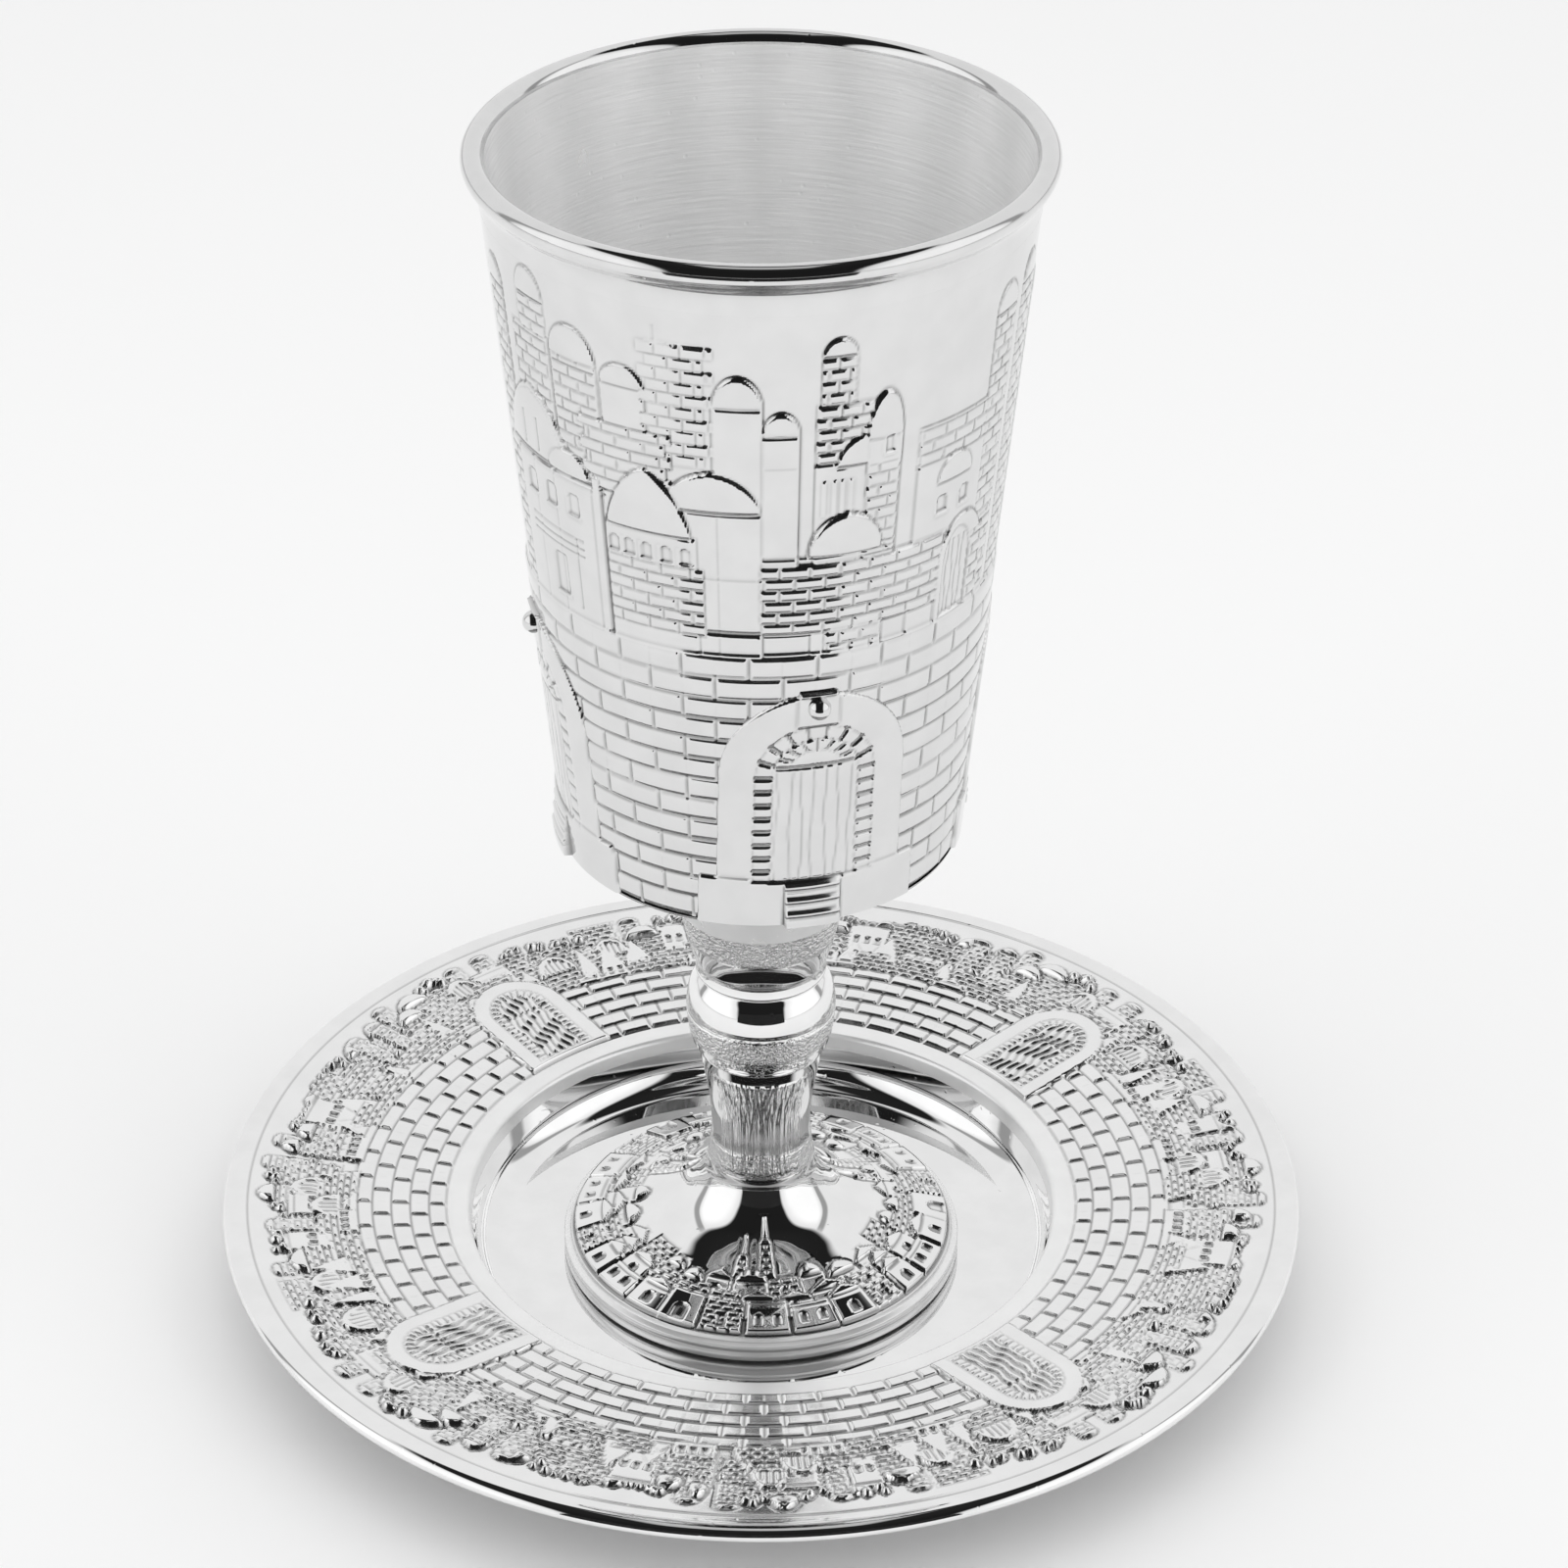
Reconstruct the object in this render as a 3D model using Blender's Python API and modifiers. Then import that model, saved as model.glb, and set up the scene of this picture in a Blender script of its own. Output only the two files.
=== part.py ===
"""A kiddush cup on its matching saucer: bowl, stem, foot and saucer, four metal castings.

The bowl stands on the stem, the stem on the foot, and the foot in the well of the saucer. The bowl,
the foot and the saucer carry a relief of a walled old town: gates, towers, domes and houses.
Metres, +Z up. The origin is the centre of the saucer's underside, and -Y is the front.
"""

from collections import namedtuple
from math import cos, hypot, pi, radians, sin

import bmesh
import bpy

# Fit between one casting and the next
SEAT_GAP = 0.0003

# Facets round each turned body, and steps along its corners, curves and arches
BOWL_FACETS = 48
SAUCER_FACETS = 48
FOOT_FACETS = 32
STEM_FACETS = 24
BEAD_FACETS = 8
CORNER_STEPS = 3
CURVE_STEPS = 4
ARCH_STEPS = 6
MERGE_DISTANCE = 0.00001
SHARP_ANGLE = 32.0

# Saucer: a flat well, a broad sloping rim and a rolled edge
SAUCER_RADIUS = 0.065
SAUCER_WALL = 0.0012
WELL_FLOOR_RADIUS = 0.0335
WELL_TOP_RADIUS = 0.0362
RIM_RADIUS = 0.0380
RIM_HEIGHT = 0.0081
RIM_RISE = 0.0025
ROLL_WIDTH = 0.0022
ROLL_DROP = 0.0018

# Foot: a banded edge, a sloping ring for the houses, and a bell that rises to the stem
FOOT_RADIUS = 0.0240
FOOT_HEIGHT = 0.01315
FOOT_BAND_HEIGHT = 0.0022
FOOT_GROOVE = 0.0003
FOOT_SHOULDER = 0.0009
TOWN_RING_WIDTH = 0.0091
TOWN_RING_RISE = 0.0029
FOOT_REPEATS = 3
FOOT_TOP_RADIUS = 0.0064

# Stem: collar, waisted neck, round knop, ring and a small cup under the bowl
COLLAR_RADIUS = 0.00642
COLLAR_HEIGHT = 0.0048
NECK_RADIUS = 0.00595
NECK_HEIGHT = 0.01625
NECK_TOP_RADIUS = 0.0073
KNOP_RADIUS = 0.0088
KNOP_HEIGHT = 0.00975
KNOP_MIDDLE = 0.62
KNOP_SKIRT = 0.0004
WAIST_RADIUS = 0.0064
RING_HEIGHT = 0.0012
STEM_CUP_FOOT_RADIUS = 0.0075
STEM_CUP_TOP_RADIUS = 0.0118
STEM_CUP_HEIGHT = 0.01965
CUP_BELLY = 0.87
CUP_BELLY_HEIGHT = 0.42

# Bowl: a tapered beaker with a flared, beaded lip
BOWL_BOTTOM_RADIUS = 0.02245
BOWL_HEIGHT = 0.0846
BOWL_TAPER = 0.0965
BOWL_WALL = 0.0011
BOWL_FLOOR = 0.0016
BOWL_EDGE_ROUND = 0.0005
INSIDE_FILLET = 0.0040
LIP_BEAD_RADIUS = 0.00127
LIP_FLARE_HEIGHT = 0.0042
LIP_OVERHANG = 0.0014

# Relief: how far each layer stands proud, and how deep its slab is sunk into the casting
EMBED = 0.0005
STONE_LIFT = 0.0003
FAR_LIFT = 0.00020
NEAR_LIFT = 0.00050
TOWER_CROWN = 0.14
SPIRE_CROWN = 0.55
ARCH_CROWN = 0.45
EAVES_HEIGHT = 0.62

# Stone courses at the foot of the relief, and the plain margin past the highest tower
BOWL_COURSES = 13
BOWL_COURSE_HEIGHT = 0.0028
BOWL_MARGIN = 0.0008
SAUCER_COURSES = 5
SAUCER_COURSE_DEPTH = 0.0023
SAUCER_MARGIN = 0.0021

# The four gates of the bowl
GATE_COUNT = 4
BOWL_GATE_ANGLE = 14.0
BOWL_GATE_WIDTH = 0.0212
BOWL_GATE_HEIGHT = 0.0312
BOWL_GATE_BORDER = 0.0039
BOWL_ARCH_STONES = 0.0020
KEYSTONE_WIDTH = 0.0044
KEYSTONE_HEIGHT = 0.0042
GATE_BEAD_RADIUS = 0.0013
PLINTH_OVERHANG = 0.0020
PLINTH_HEIGHT = 0.0062
STEP_COUNT = 3
STEP_WIDTH = 0.0060
STEP_TREAD = 0.00022
LAYER_SETBACK = 0.00010
GATE_LIFT = 0.00060
GATE_SINK = 0.00025
DOOR_SINK = 0.00010

# The four gates of the saucer
SAUCER_GATE_ANGLE = 39.5
SAUCER_GATE_WIDTH = 0.0122
SAUCER_GATE_HEIGHT = 0.0166
SAUCER_GATE_BORDER = 0.0021
SAUCER_ARCH_STONES = 0.0012

# Heights of the seats, one casting on the next
FOOT_BASE = SAUCER_WALL + SEAT_GAP
STEM_BASE = FOOT_BASE + FOOT_HEIGHT + SEAT_GAP
STEM_TOP = STEM_BASE + NECK_HEIGHT + KNOP_HEIGHT + RING_HEIGHT + STEM_CUP_HEIGHT
BOWL_BASE = STEM_TOP + SEAT_GAP

Strip = namedtuple("Strip", "radius height along_r along_z out_r out_z length facets")
Strip.__doc__ = "A straight cone strip: its start, its direction, its normal, its length and its facets."

Gate = namedtuple("Gate", "width height border stones")
Gate.__doc__ = "A gate's panel, the plain border on it, and the ring of stones round its door."

# Buildings, from the farthest to the nearest: kind, left and right edge in degrees from the front, and
# foot and top as shares of the relief's height above the stone courses.
BOWL_FRONT = (
    ("tower", -76.0, -67.5, 0.00, 0.95),
    ("block", -62.0, -37.5, 0.00, 0.43),
    ("tower", -59.5, -50.0, 0.40, 1.00),
    ("dome", -71.0, -46.0, 0.42, 0.64),
    ("tower", -49.0, -36.2, 0.40, 0.89),
    ("block", -41.0, -20.0, 0.42, 0.64),
    ("dome", -35.0, -24.7, 0.63, 0.82),
    ("tower", -24.0, -11.5, 0.40, 0.99),
    ("spire", -36.0, -15.5, 0.33, 0.54),
    ("block", -37.0, -13.0, 0.00, 0.35),
    ("tower", -10.0, -0.4, 0.00, 0.83),
    ("dome", -19.5, -2.0, 0.42, 0.55),
    ("tower", 0.6, 8.0, 0.25, 0.73),
    ("tower", 12.3, 19.5, 0.40, 0.93),
    ("spire", 22.8, 31.0, 0.25, 0.76),
    ("dome", 10.5, 27.3, 0.26, 0.42),
    ("block", 0.2, 44.0, 0.00, 0.28),
    ("block", 36.0, 66.0, 0.20, 0.61),
    ("dome", 42.0, 53.0, 0.43, 0.52),
    ("arch", 44.5, 60.5, 0.00, 0.31),
    ("tower", 57.5, 65.5, 0.50, 0.92),
    ("tower", 70.0, 78.0, 0.00, 0.94),
)
BOWL_BACK = (
    ("tower", 84.0, 92.0, 0.00, 0.90),
    ("block", 99.0, 122.0, 0.00, 0.45),
    ("dome", 101.0, 117.0, 0.44, 0.62),
    ("tower", 128.0, 136.0, 0.00, 0.97),
    ("spire", 144.0, 161.0, 0.00, 0.52),
    ("tower", 173.5, 181.5, 0.00, 0.86),
    ("block", 189.0, 212.0, 0.00, 0.47),
    ("dome", 191.0, 208.0, 0.46, 0.66),
    ("tower", 218.0, 226.0, 0.00, 1.00),
    ("spire", 234.0, 251.0, 0.00, 0.55),
    ("tower", 263.5, 271.5, 0.00, 0.91),
)

# A quarter of the saucer's rim, in degrees past the middle of a gate
SAUCER_QUARTER = (
    ("dome", 9.0, 17.0, 0.00, 0.50),
    ("tower", 18.0, 22.0, 0.00, 0.92),
    ("block", 23.0, 31.0, 0.00, 0.42),
    ("tower", 32.5, 36.5, 0.00, 1.00),
    ("spire", 38.0, 45.5, 0.00, 0.66),
    ("tower", 47.5, 51.5, 0.00, 0.88),
    ("dome", 53.5, 63.0, 0.00, 0.58),
    ("block", 65.0, 80.0, 0.00, 0.46),
)

# A third of the ring round the foot: shares are of the ring's own width
FOOT_THIRD = (
    ("dome", -58.0, -46.0, 0.42, 0.86),
    ("house", -60.0, -44.0, 0.06, 0.48),
    ("house", -41.0, -26.0, 0.06, 0.44),
    ("tower", 1.5, 6.0, 0.40, 1.16),
    ("tower", 11.0, 16.5, 0.40, 1.10),
    ("house", -23.0, -9.0, 0.06, 0.50),
    ("dome", -6.0, 14.0, 0.06, 0.52),
    ("block", 17.0, 30.0, 0.06, 0.46),
    ("dome", 34.0, 56.0, 0.06, 0.62),
)


def strip_between(start, end, facets, side=1):
    """The cone strip between two profile points, with its outward side to the right, or left for -1."""
    run_r = end[0] - start[0]
    run_z = end[1] - start[1]
    length = hypot(run_r, run_z)
    along_r = run_r / length
    along_z = run_z / length
    return Strip(*start, along_r, along_z, side * along_z, -side * along_r, length, facets)


def on_strip(strip, angle, along, lift):
    """The point at an angle from the front and a distance along a strip, raised off its facets."""
    pitch = 2 * pi / strip.facets
    from_middle = angle % pitch - pitch / 2
    radius = strip.radius + strip.along_r * along + strip.out_r * lift
    radius *= cos(pitch / 2) / cos(from_middle)
    height = strip.height + strip.along_z * along + strip.out_z * lift
    return radius * sin(angle), -radius * cos(angle), height


def arc(centre, radius, start, end, steps):
    """Points along a circular arc, both ends included, with angles in radians."""
    angles = [start + (end - start) * i / steps for i in range(steps + 1)]
    return [(centre[0] + radius * cos(a), centre[1] + radius * sin(a)) for a in angles]


def sweep(start, pull, end, steps=CURVE_STEPS):
    """Points from start to end along a quadratic curve that is pulled towards a third point."""
    points = []
    for i in range(steps + 1):
        t = i / steps
        shares = ((1 - t) ** 2, 2 * t * (1 - t), t ** 2)
        points.append(tuple(sum(s * p[k] for s, p in zip(shares, (start, pull, end))) for k in (0, 1)))
    return points


def moved_below(line, wall):
    """A line of profile points moved down by a wall's thickness, square to the line and mitred."""
    normals = []
    for (r0, z0), (r1, z1) in zip(line, line[1:]):
        length = hypot(r1 - r0, z1 - z0)
        normals.append(((z1 - z0) / length, (r0 - r1) / length))
    moved = []
    for i, (radius, height) in enumerate(line):
        before = normals[max(i - 1, 0)]
        after = normals[min(i, len(normals) - 1)]
        scale = wall / (1 + before[0] * after[0] + before[1] * after[1])
        moved.append((radius + (before[0] + after[0]) * scale, height + (before[1] + after[1]) * scale))
    return moved


def metal(name, colour, roughness):
    """A plated metal material."""
    material = bpy.data.materials.new(name)
    material.use_nodes = True
    shader = material.node_tree.nodes["Principled BSDF"]
    shader.inputs["Base Color"].default_value = (*colour, 1.0)
    shader.inputs["Metallic"].default_value = 1.0
    shader.inputs["Roughness"].default_value = roughness
    return material


def settle(body):
    """Swap a body's modifiers for the mesh that they make."""
    graph = bpy.context.evaluated_depsgraph_get()
    finished = bpy.data.meshes.new_from_object(body.evaluated_get(graph))
    body.modifiers.clear()
    body.data = finished


def turned(name, profile, facets, collection):
    """A body turned round the Z axis from a profile that runs down its outer side."""
    mesh = bpy.data.meshes.new(name)
    points = [(radius, 0.0, height) for radius, height in profile]
    edges = [(i, i + 1) for i in range(len(points) - 1)]
    mesh.from_pydata(points, edges, [])
    body = bpy.data.objects.new(name, mesh)
    collection.objects.link(body)
    screw = body.modifiers.new("Turn", "SCREW")
    screw.steps = facets
    screw.render_steps = facets
    screw.use_merge_vertices = True
    screw.merge_threshold = MERGE_DISTANCE
    settle(body)
    return body


def slab(strip, outline, lift, scrap, sunk=EMBED):
    """A raised shape on a strip: an outline of (angle, along) points, cut at the facets' edges and
    given depth from below the surface to above it."""
    work = bmesh.new()
    work.faces.new([work.verts.new((angle, along, 0.0)) for angle, along in outline])
    pitch = 2 * pi / strip.facets
    first = int(min(angle for angle, _ in outline) // pitch) + 1
    last = int(max(angle for angle, _ in outline) // pitch)
    for facet in range(first, last + 1):
        whole = work.verts[:] + work.edges[:] + work.faces[:]
        edge = (facet * pitch, 0.0, 0.0)
        bmesh.ops.bisect_plane(work, geom=whole, plane_co=edge, plane_no=(1, 0, 0), dist=1e-7)
    inner = work.verts[:]
    grown = bmesh.ops.extrude_face_region(work, geom=work.faces[:], use_keep_orig=True)["geom"]
    outer = [item for item in grown if isinstance(item, bmesh.types.BMVert)]
    for level, corners in ((-sunk, inner), (lift, outer)):
        for corner in corners:
            corner.co = on_strip(strip, corner.co.x, corner.co.y, level)
    bmesh.ops.recalc_face_normals(work, faces=work.faces[:])
    mesh = bpy.data.meshes.new("slab")
    work.to_mesh(mesh)
    work.free()
    piece = bpy.data.objects.new("slab", mesh)
    piece.hide_render = True
    piece.display_type = "WIRE"
    scrap.objects.link(piece)
    return piece


def combine(body, pieces, operation="UNION"):
    """Join closed pieces to a closed body, or cut them from it, one at a time, and remove them."""
    for piece in pieces:
        boolean = body.modifiers.new("Join", "BOOLEAN")
        boolean.operation = operation
        boolean.solver = "MANIFOLD"
        boolean.object = piece
        settle(body)
        bpy.data.objects.remove(piece)


def copies_round(piece, count, scrap):
    """A piece and its copies, spaced evenly round the Z axis."""
    ring = [piece]
    for i in range(1, count):
        copy = bpy.data.objects.new(piece.name, piece.data)
        copy.rotation_euler.z = 2 * pi * i / count
        scrap.objects.link(copy)
        ring.append(copy)
    return ring


def block(left, right, base, top):
    """A rectangle."""
    return [(left, base), (right, base), (right, top), (left, top)]


def dome(left, right, base, top, steps=6):
    """Half an ellipse standing on its base line."""
    middle = (left + right) / 2
    half = (right - left) / 2
    angles = [pi * i / steps for i in range(steps + 1)]
    return [(middle + half * cos(a), base + (top - base) * sin(a)) for a in angles]


def round_top(left, right, base, top, crown, steps=4):
    """A rectangle that ends in half an ellipse of the crown's height."""
    return [(left, base), (right, base)] + dome(left, right, top - crown, top, steps)


def gable(left, right, base, eaves, top):
    """A house front with a pitched roof."""
    return [(left, base), (right, base), (right, eaves), ((left + right) / 2, top), (left, eaves)]


def building(kind, left, right, base, top):
    """The outline of one building, from its kind and its four sides."""
    tall = top - base
    if kind == "tower":
        return round_top(left, right, base, top, tall * TOWER_CROWN)
    if kind == "spire":
        return round_top(left, right, base, top, tall * SPIRE_CROWN)
    if kind == "arch":
        return round_top(left, right, base, top, tall * ARCH_CROWN)
    if kind == "dome":
        return dome(left, right, base, top)
    if kind == "house":
        return gable(left, right, base, base + tall * EAVES_HEIGHT, top)
    return block(left, right, base, top)


def town(strip, rows, foot, height, scrap, turn=0.0):
    """The slabs of a row of buildings that stand on the line at foot, each prouder than the last."""
    pieces = []
    for i, (kind, left, right, base, top) in enumerate(rows):
        sides = (radians(left) + turn, radians(right) + turn)
        outline = building(kind, *sides, foot + base * height, foot + top * height)
        lift = FAR_LIFT + (NEAR_LIFT - FAR_LIFT) * (i + 1) / len(rows)
        pieces.append(slab(strip, outline, lift, scrap))
    return pieces


def across(strip, outline, turn):
    """An outline in metres across and along a strip, as angles and metres along."""
    return [(turn + x / (strip.radius + strip.along_r * along), along) for x, along in outline]


def gateway(strip, gate, turn, base, sill, scrap):
    """An arched panel from base up, with a sunk ring of arch stones and a door that stand on the sill."""
    half = gate.width / 2
    panel = across(strip, round_top(-half, half, base, gate.height, half, ARCH_STEPS), turn)
    body = slab(strip, panel, GATE_LIFT, scrap)
    half -= gate.border
    top = gate.height - KEYSTONE_HEIGHT * gate.border / BOWL_GATE_BORDER
    ring = across(strip, round_top(-half, half, sill, top, half, ARCH_STEPS), turn)
    floor = GATE_LIFT - GATE_SINK
    combine(body, [slab(strip, ring, GATE_LIFT + GATE_SINK, scrap, -floor)], "DIFFERENCE")
    half -= gate.stones
    door = across(strip, round_top(-half, half, sill, top - gate.stones, half), turn)
    combine(body, [slab(strip, door, GATE_LIFT - DOOR_SINK, scrap)])
    return body


def bowl_gate(strip, scrap):
    """A gate of the bowl: the gateway on a wider plinth with steps, a keystone and a round bead."""
    turn = radians(BOWL_GATE_ANGLE)
    base = BOWL_EDGE_ROUND
    gate = Gate(BOWL_GATE_WIDTH, BOWL_GATE_HEIGHT, BOWL_GATE_BORDER, BOWL_ARCH_STONES)
    foot = base + STEP_COUNT * LAYER_SETBACK
    body = gateway(strip, gate, turn, foot + LAYER_SETBACK, PLINTH_HEIGHT, scrap)
    half = BOWL_GATE_WIDTH / 2 + PLINTH_OVERHANG
    layers = [(block(-half, half, foot, PLINTH_HEIGHT), GATE_LIFT + STEP_TREAD / 2)]
    half = STEP_WIDTH / 2
    rise = (PLINTH_HEIGHT - base) / STEP_COUNT
    for i in range(STEP_COUNT):
        foot -= LAYER_SETBACK
        lift = GATE_LIFT + (i + 1.5) * STEP_TREAD
        layers.append((block(-half, half, foot, PLINTH_HEIGHT - LAYER_SETBACK - i * rise), lift))
    half = KEYSTONE_WIDTH / 2
    keystone = block(-half, half, BOWL_GATE_HEIGHT - KEYSTONE_HEIGHT, BOWL_GATE_HEIGHT + STONE_LIFT)
    layers.append((keystone, GATE_LIFT + STEP_TREAD))
    combine(body, [slab(strip, across(strip, outline, turn), lift, scrap) for outline, lift in layers])
    middle = on_strip(strip, turn, BOWL_GATE_HEIGHT - KEYSTONE_HEIGHT / 2, GATE_LIFT)
    bpy.ops.mesh.primitive_uv_sphere_add(
        segments=BEAD_FACETS, ring_count=ARCH_STEPS, radius=GATE_BEAD_RADIUS, location=middle)
    combine(body, [bpy.context.object])
    return body


def ground_radius(height):
    """The radius of the bowl's plain wall at a height."""
    return BOWL_BOTTOM_RADIUS + BOWL_TAPER * (height - BOWL_BASE)


def bowl_profile():
    """The bowl's section, from its inside floor up over the lip and down to its underside."""
    inside = BOWL_BASE + BOWL_FLOOR
    fillet_middle = (ground_radius(inside) - BOWL_WALL - INSIDE_FILLET, inside + INSIDE_FILLET)
    bead_height = BOWL_BASE + BOWL_HEIGHT - LIP_BEAD_RADIUS
    bead_middle = (ground_radius(bead_height) + LIP_OVERHANG - LIP_BEAD_RADIUS, bead_height)
    flare_height = bead_height - LIP_FLARE_HEIGHT
    flare_foot = (ground_radius(flare_height), flare_height)
    flare_top = (ground_radius(bead_height) + LIP_OVERHANG, bead_height - LIP_BEAD_RADIUS)
    flare_pull = (ground_radius(bead_height) + LIP_OVERHANG / 4, bead_height - LIP_FLARE_HEIGHT / 2)
    stones = BOWL_BASE + BOWL_COURSES * BOWL_COURSE_HEIGHT
    edge = BOWL_BASE + BOWL_EDGE_ROUND
    profile = [(0.0, inside)]
    profile += arc(fillet_middle, INSIDE_FILLET, -pi / 2, 0.0, CORNER_STEPS)
    profile += arc(bead_middle, LIP_BEAD_RADIUS, pi, 0.0, 2 * CORNER_STEPS)
    profile += sweep(flare_top, flare_pull, flare_foot, CORNER_STEPS)
    profile.append((ground_radius(stones), stones))
    profile.append((ground_radius(stones - STONE_LIFT) + STONE_LIFT, stones - STONE_LIFT))
    profile.append((ground_radius(edge) + STONE_LIFT, edge))
    profile.append((ground_radius(BOWL_BASE) + STONE_LIFT - BOWL_EDGE_ROUND, BOWL_BASE))
    profile.append((0.0, BOWL_BASE))
    return profile


def make_bowl(cup, scrap):
    """The beaker with its stone courses, four gates and the towers and domes above them."""
    bowl = turned("bowl", bowl_profile(), BOWL_FACETS, cup)
    lip_foot = BOWL_HEIGHT - LIP_BEAD_RADIUS - LIP_FLARE_HEIGHT
    start = (BOWL_BOTTOM_RADIUS, BOWL_BASE)
    end = (ground_radius(BOWL_BASE + lip_foot), BOWL_BASE + lip_foot)
    strip = strip_between(start, end, BOWL_FACETS)
    stones = BOWL_COURSES * BOWL_COURSE_HEIGHT - 2 * STONE_LIFT
    height = strip.length - BOWL_MARGIN - stones
    combine(bowl, town(strip, BOWL_FRONT + BOWL_BACK, stones, height, scrap))
    combine(bowl, copies_round(bowl_gate(strip, scrap), GATE_COUNT, scrap))
    return bowl


def make_stem(cup):
    """The stem, turned in one piece from its cup down to its collar."""
    neck_top = STEM_BASE + NECK_HEIGHT
    middle = neck_top + KNOP_HEIGHT * KNOP_MIDDLE
    waist = neck_top + KNOP_HEIGHT
    cup_foot = waist + RING_HEIGHT
    belly = (STEM_CUP_TOP_RADIUS * CUP_BELLY, cup_foot + STEM_CUP_HEIGHT * CUP_BELLY_HEIGHT)
    profile = [(0.0, STEM_TOP)]
    profile += sweep((STEM_CUP_TOP_RADIUS, STEM_TOP), belly, (STEM_CUP_FOOT_RADIUS, cup_foot))
    ring = (WAIST_RADIUS + STEM_CUP_FOOT_RADIUS) / 2
    profile += [(ring, cup_foot - RING_HEIGHT / 4), (WAIST_RADIUS, waist)]
    profile += sweep((WAIST_RADIUS, waist), (KNOP_RADIUS, waist), (KNOP_RADIUS, middle))[1:]
    skirt = (NECK_TOP_RADIUS + KNOP_SKIRT, neck_top)
    skirt_pull = (KNOP_RADIUS, (middle + neck_top) / 2)
    profile += sweep((KNOP_RADIUS, middle), skirt_pull, skirt, CORNER_STEPS)[1:]
    collar_top = (NECK_RADIUS, STEM_BASE + COLLAR_HEIGHT)
    neck_pull = (NECK_RADIUS, (neck_top + collar_top[1]) / 2)
    profile += sweep((NECK_TOP_RADIUS, neck_top - KNOP_SKIRT), neck_pull, collar_top)
    collar_pull = (NECK_RADIUS, STEM_BASE + COLLAR_HEIGHT / 2)
    profile += sweep(collar_top, collar_pull, (COLLAR_RADIUS, STEM_BASE), CORNER_STEPS)[1:]
    profile.append((0.0, STEM_BASE))
    return turned("stem", profile, STEM_FACETS, cup)


def make_foot(cup, scrap):
    """The bell-shaped foot with its ring of houses, domes and towers."""
    band = FOOT_BASE + FOOT_BAND_HEIGHT
    groove = FOOT_BASE + FOOT_BAND_HEIGHT / 2
    ring_start = (FOOT_RADIUS - FOOT_SHOULDER, band + FOOT_SHOULDER - FOOT_GROOVE)
    ring_end = (ring_start[0] - TOWN_RING_WIDTH, ring_start[1] + TOWN_RING_RISE)
    bell_pull = (FOOT_TOP_RADIUS + FOOT_GROOVE, ring_end[1] + FOOT_SHOULDER)
    profile = [(0.0, FOOT_BASE + FOOT_HEIGHT)]
    profile += sweep((FOOT_TOP_RADIUS, FOOT_BASE + FOOT_HEIGHT), bell_pull, ring_end)
    profile += [ring_start, (FOOT_RADIUS - FOOT_GROOVE, band), (FOOT_RADIUS, band - FOOT_GROOVE)]
    profile += [(FOOT_RADIUS, groove + FOOT_GROOVE), (FOOT_RADIUS - FOOT_GROOVE, groove)]
    profile += [(FOOT_RADIUS, groove - FOOT_GROOVE), (FOOT_RADIUS, FOOT_BASE), (0.0, FOOT_BASE)]
    foot = turned("foot", profile, FOOT_FACETS, cup)
    strip = strip_between(ring_start, ring_end, FOOT_FACETS)
    for third in range(FOOT_REPEATS):
        turn = 2 * pi * third / FOOT_REPEATS
        combine(foot, town(strip, FOOT_THIRD, 0.0, strip.length, scrap, turn))
    return foot


def make_saucer(cup, scrap):
    """The saucer with its stone courses, four gates and the towers and domes outside them."""
    rim = (RIM_RADIUS, RIM_HEIGHT)
    rim_end = (SAUCER_RADIUS - ROLL_WIDTH, RIM_HEIGHT + RIM_RISE)
    edge = (SAUCER_RADIUS, rim_end[1] - ROLL_DROP)
    floor = (WELL_FLOOR_RADIUS, SAUCER_WALL)
    brow = (WELL_TOP_RADIUS, RIM_HEIGHT - (RIM_RADIUS - WELL_TOP_RADIUS) / 2)
    strip = strip_between(rim, rim_end, SAUCER_FACETS, -1)
    stones = SAUCER_COURSES * SAUCER_COURSE_DEPTH
    profile = [(0.0, SAUCER_WALL), floor, brow, rim]
    for along, lift in ((STONE_LIFT, STONE_LIFT), (stones - STONE_LIFT, STONE_LIFT), (stones, 0.0)):
        point = (strip.radius + strip.along_r * along, strip.height + strip.along_z * along)
        profile.append((point[0] + strip.out_r * lift, point[1] + strip.out_z * lift))
    profile += sweep(rim_end, (SAUCER_RADIUS, rim_end[1]), edge, CORNER_STEPS)
    line = [(0.0, SAUCER_WALL), floor, brow, rim, rim_end, edge]
    profile += reversed(moved_below(line, SAUCER_WALL))
    saucer = turned("saucer", profile, SAUCER_FACETS, cup)
    gate = Gate(SAUCER_GATE_WIDTH, SAUCER_GATE_HEIGHT, SAUCER_GATE_BORDER, SAUCER_ARCH_STONES)
    height = strip.length - SAUCER_MARGIN - stones
    threshold = 2 * STONE_LIFT
    for quarter in range(GATE_COUNT):
        turn = radians(SAUCER_GATE_ANGLE) + 2 * pi * quarter / GATE_COUNT
        combine(saucer, town(strip, SAUCER_QUARTER, stones - threshold, height, scrap, turn))
        combine(saucer, [gateway(strip, gate, turn, threshold, SAUCER_GATE_BORDER / 2, scrap)])
    return saucer


def finish(body, material):
    """Give a body its material and smooth shading between its sharp edges."""
    body.data.materials.clear()
    body.data.materials.append(material)
    body.data.shade_smooth()
    body.data.set_sharp_from_angle(angle=radians(SHARP_ANGLE))


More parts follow.
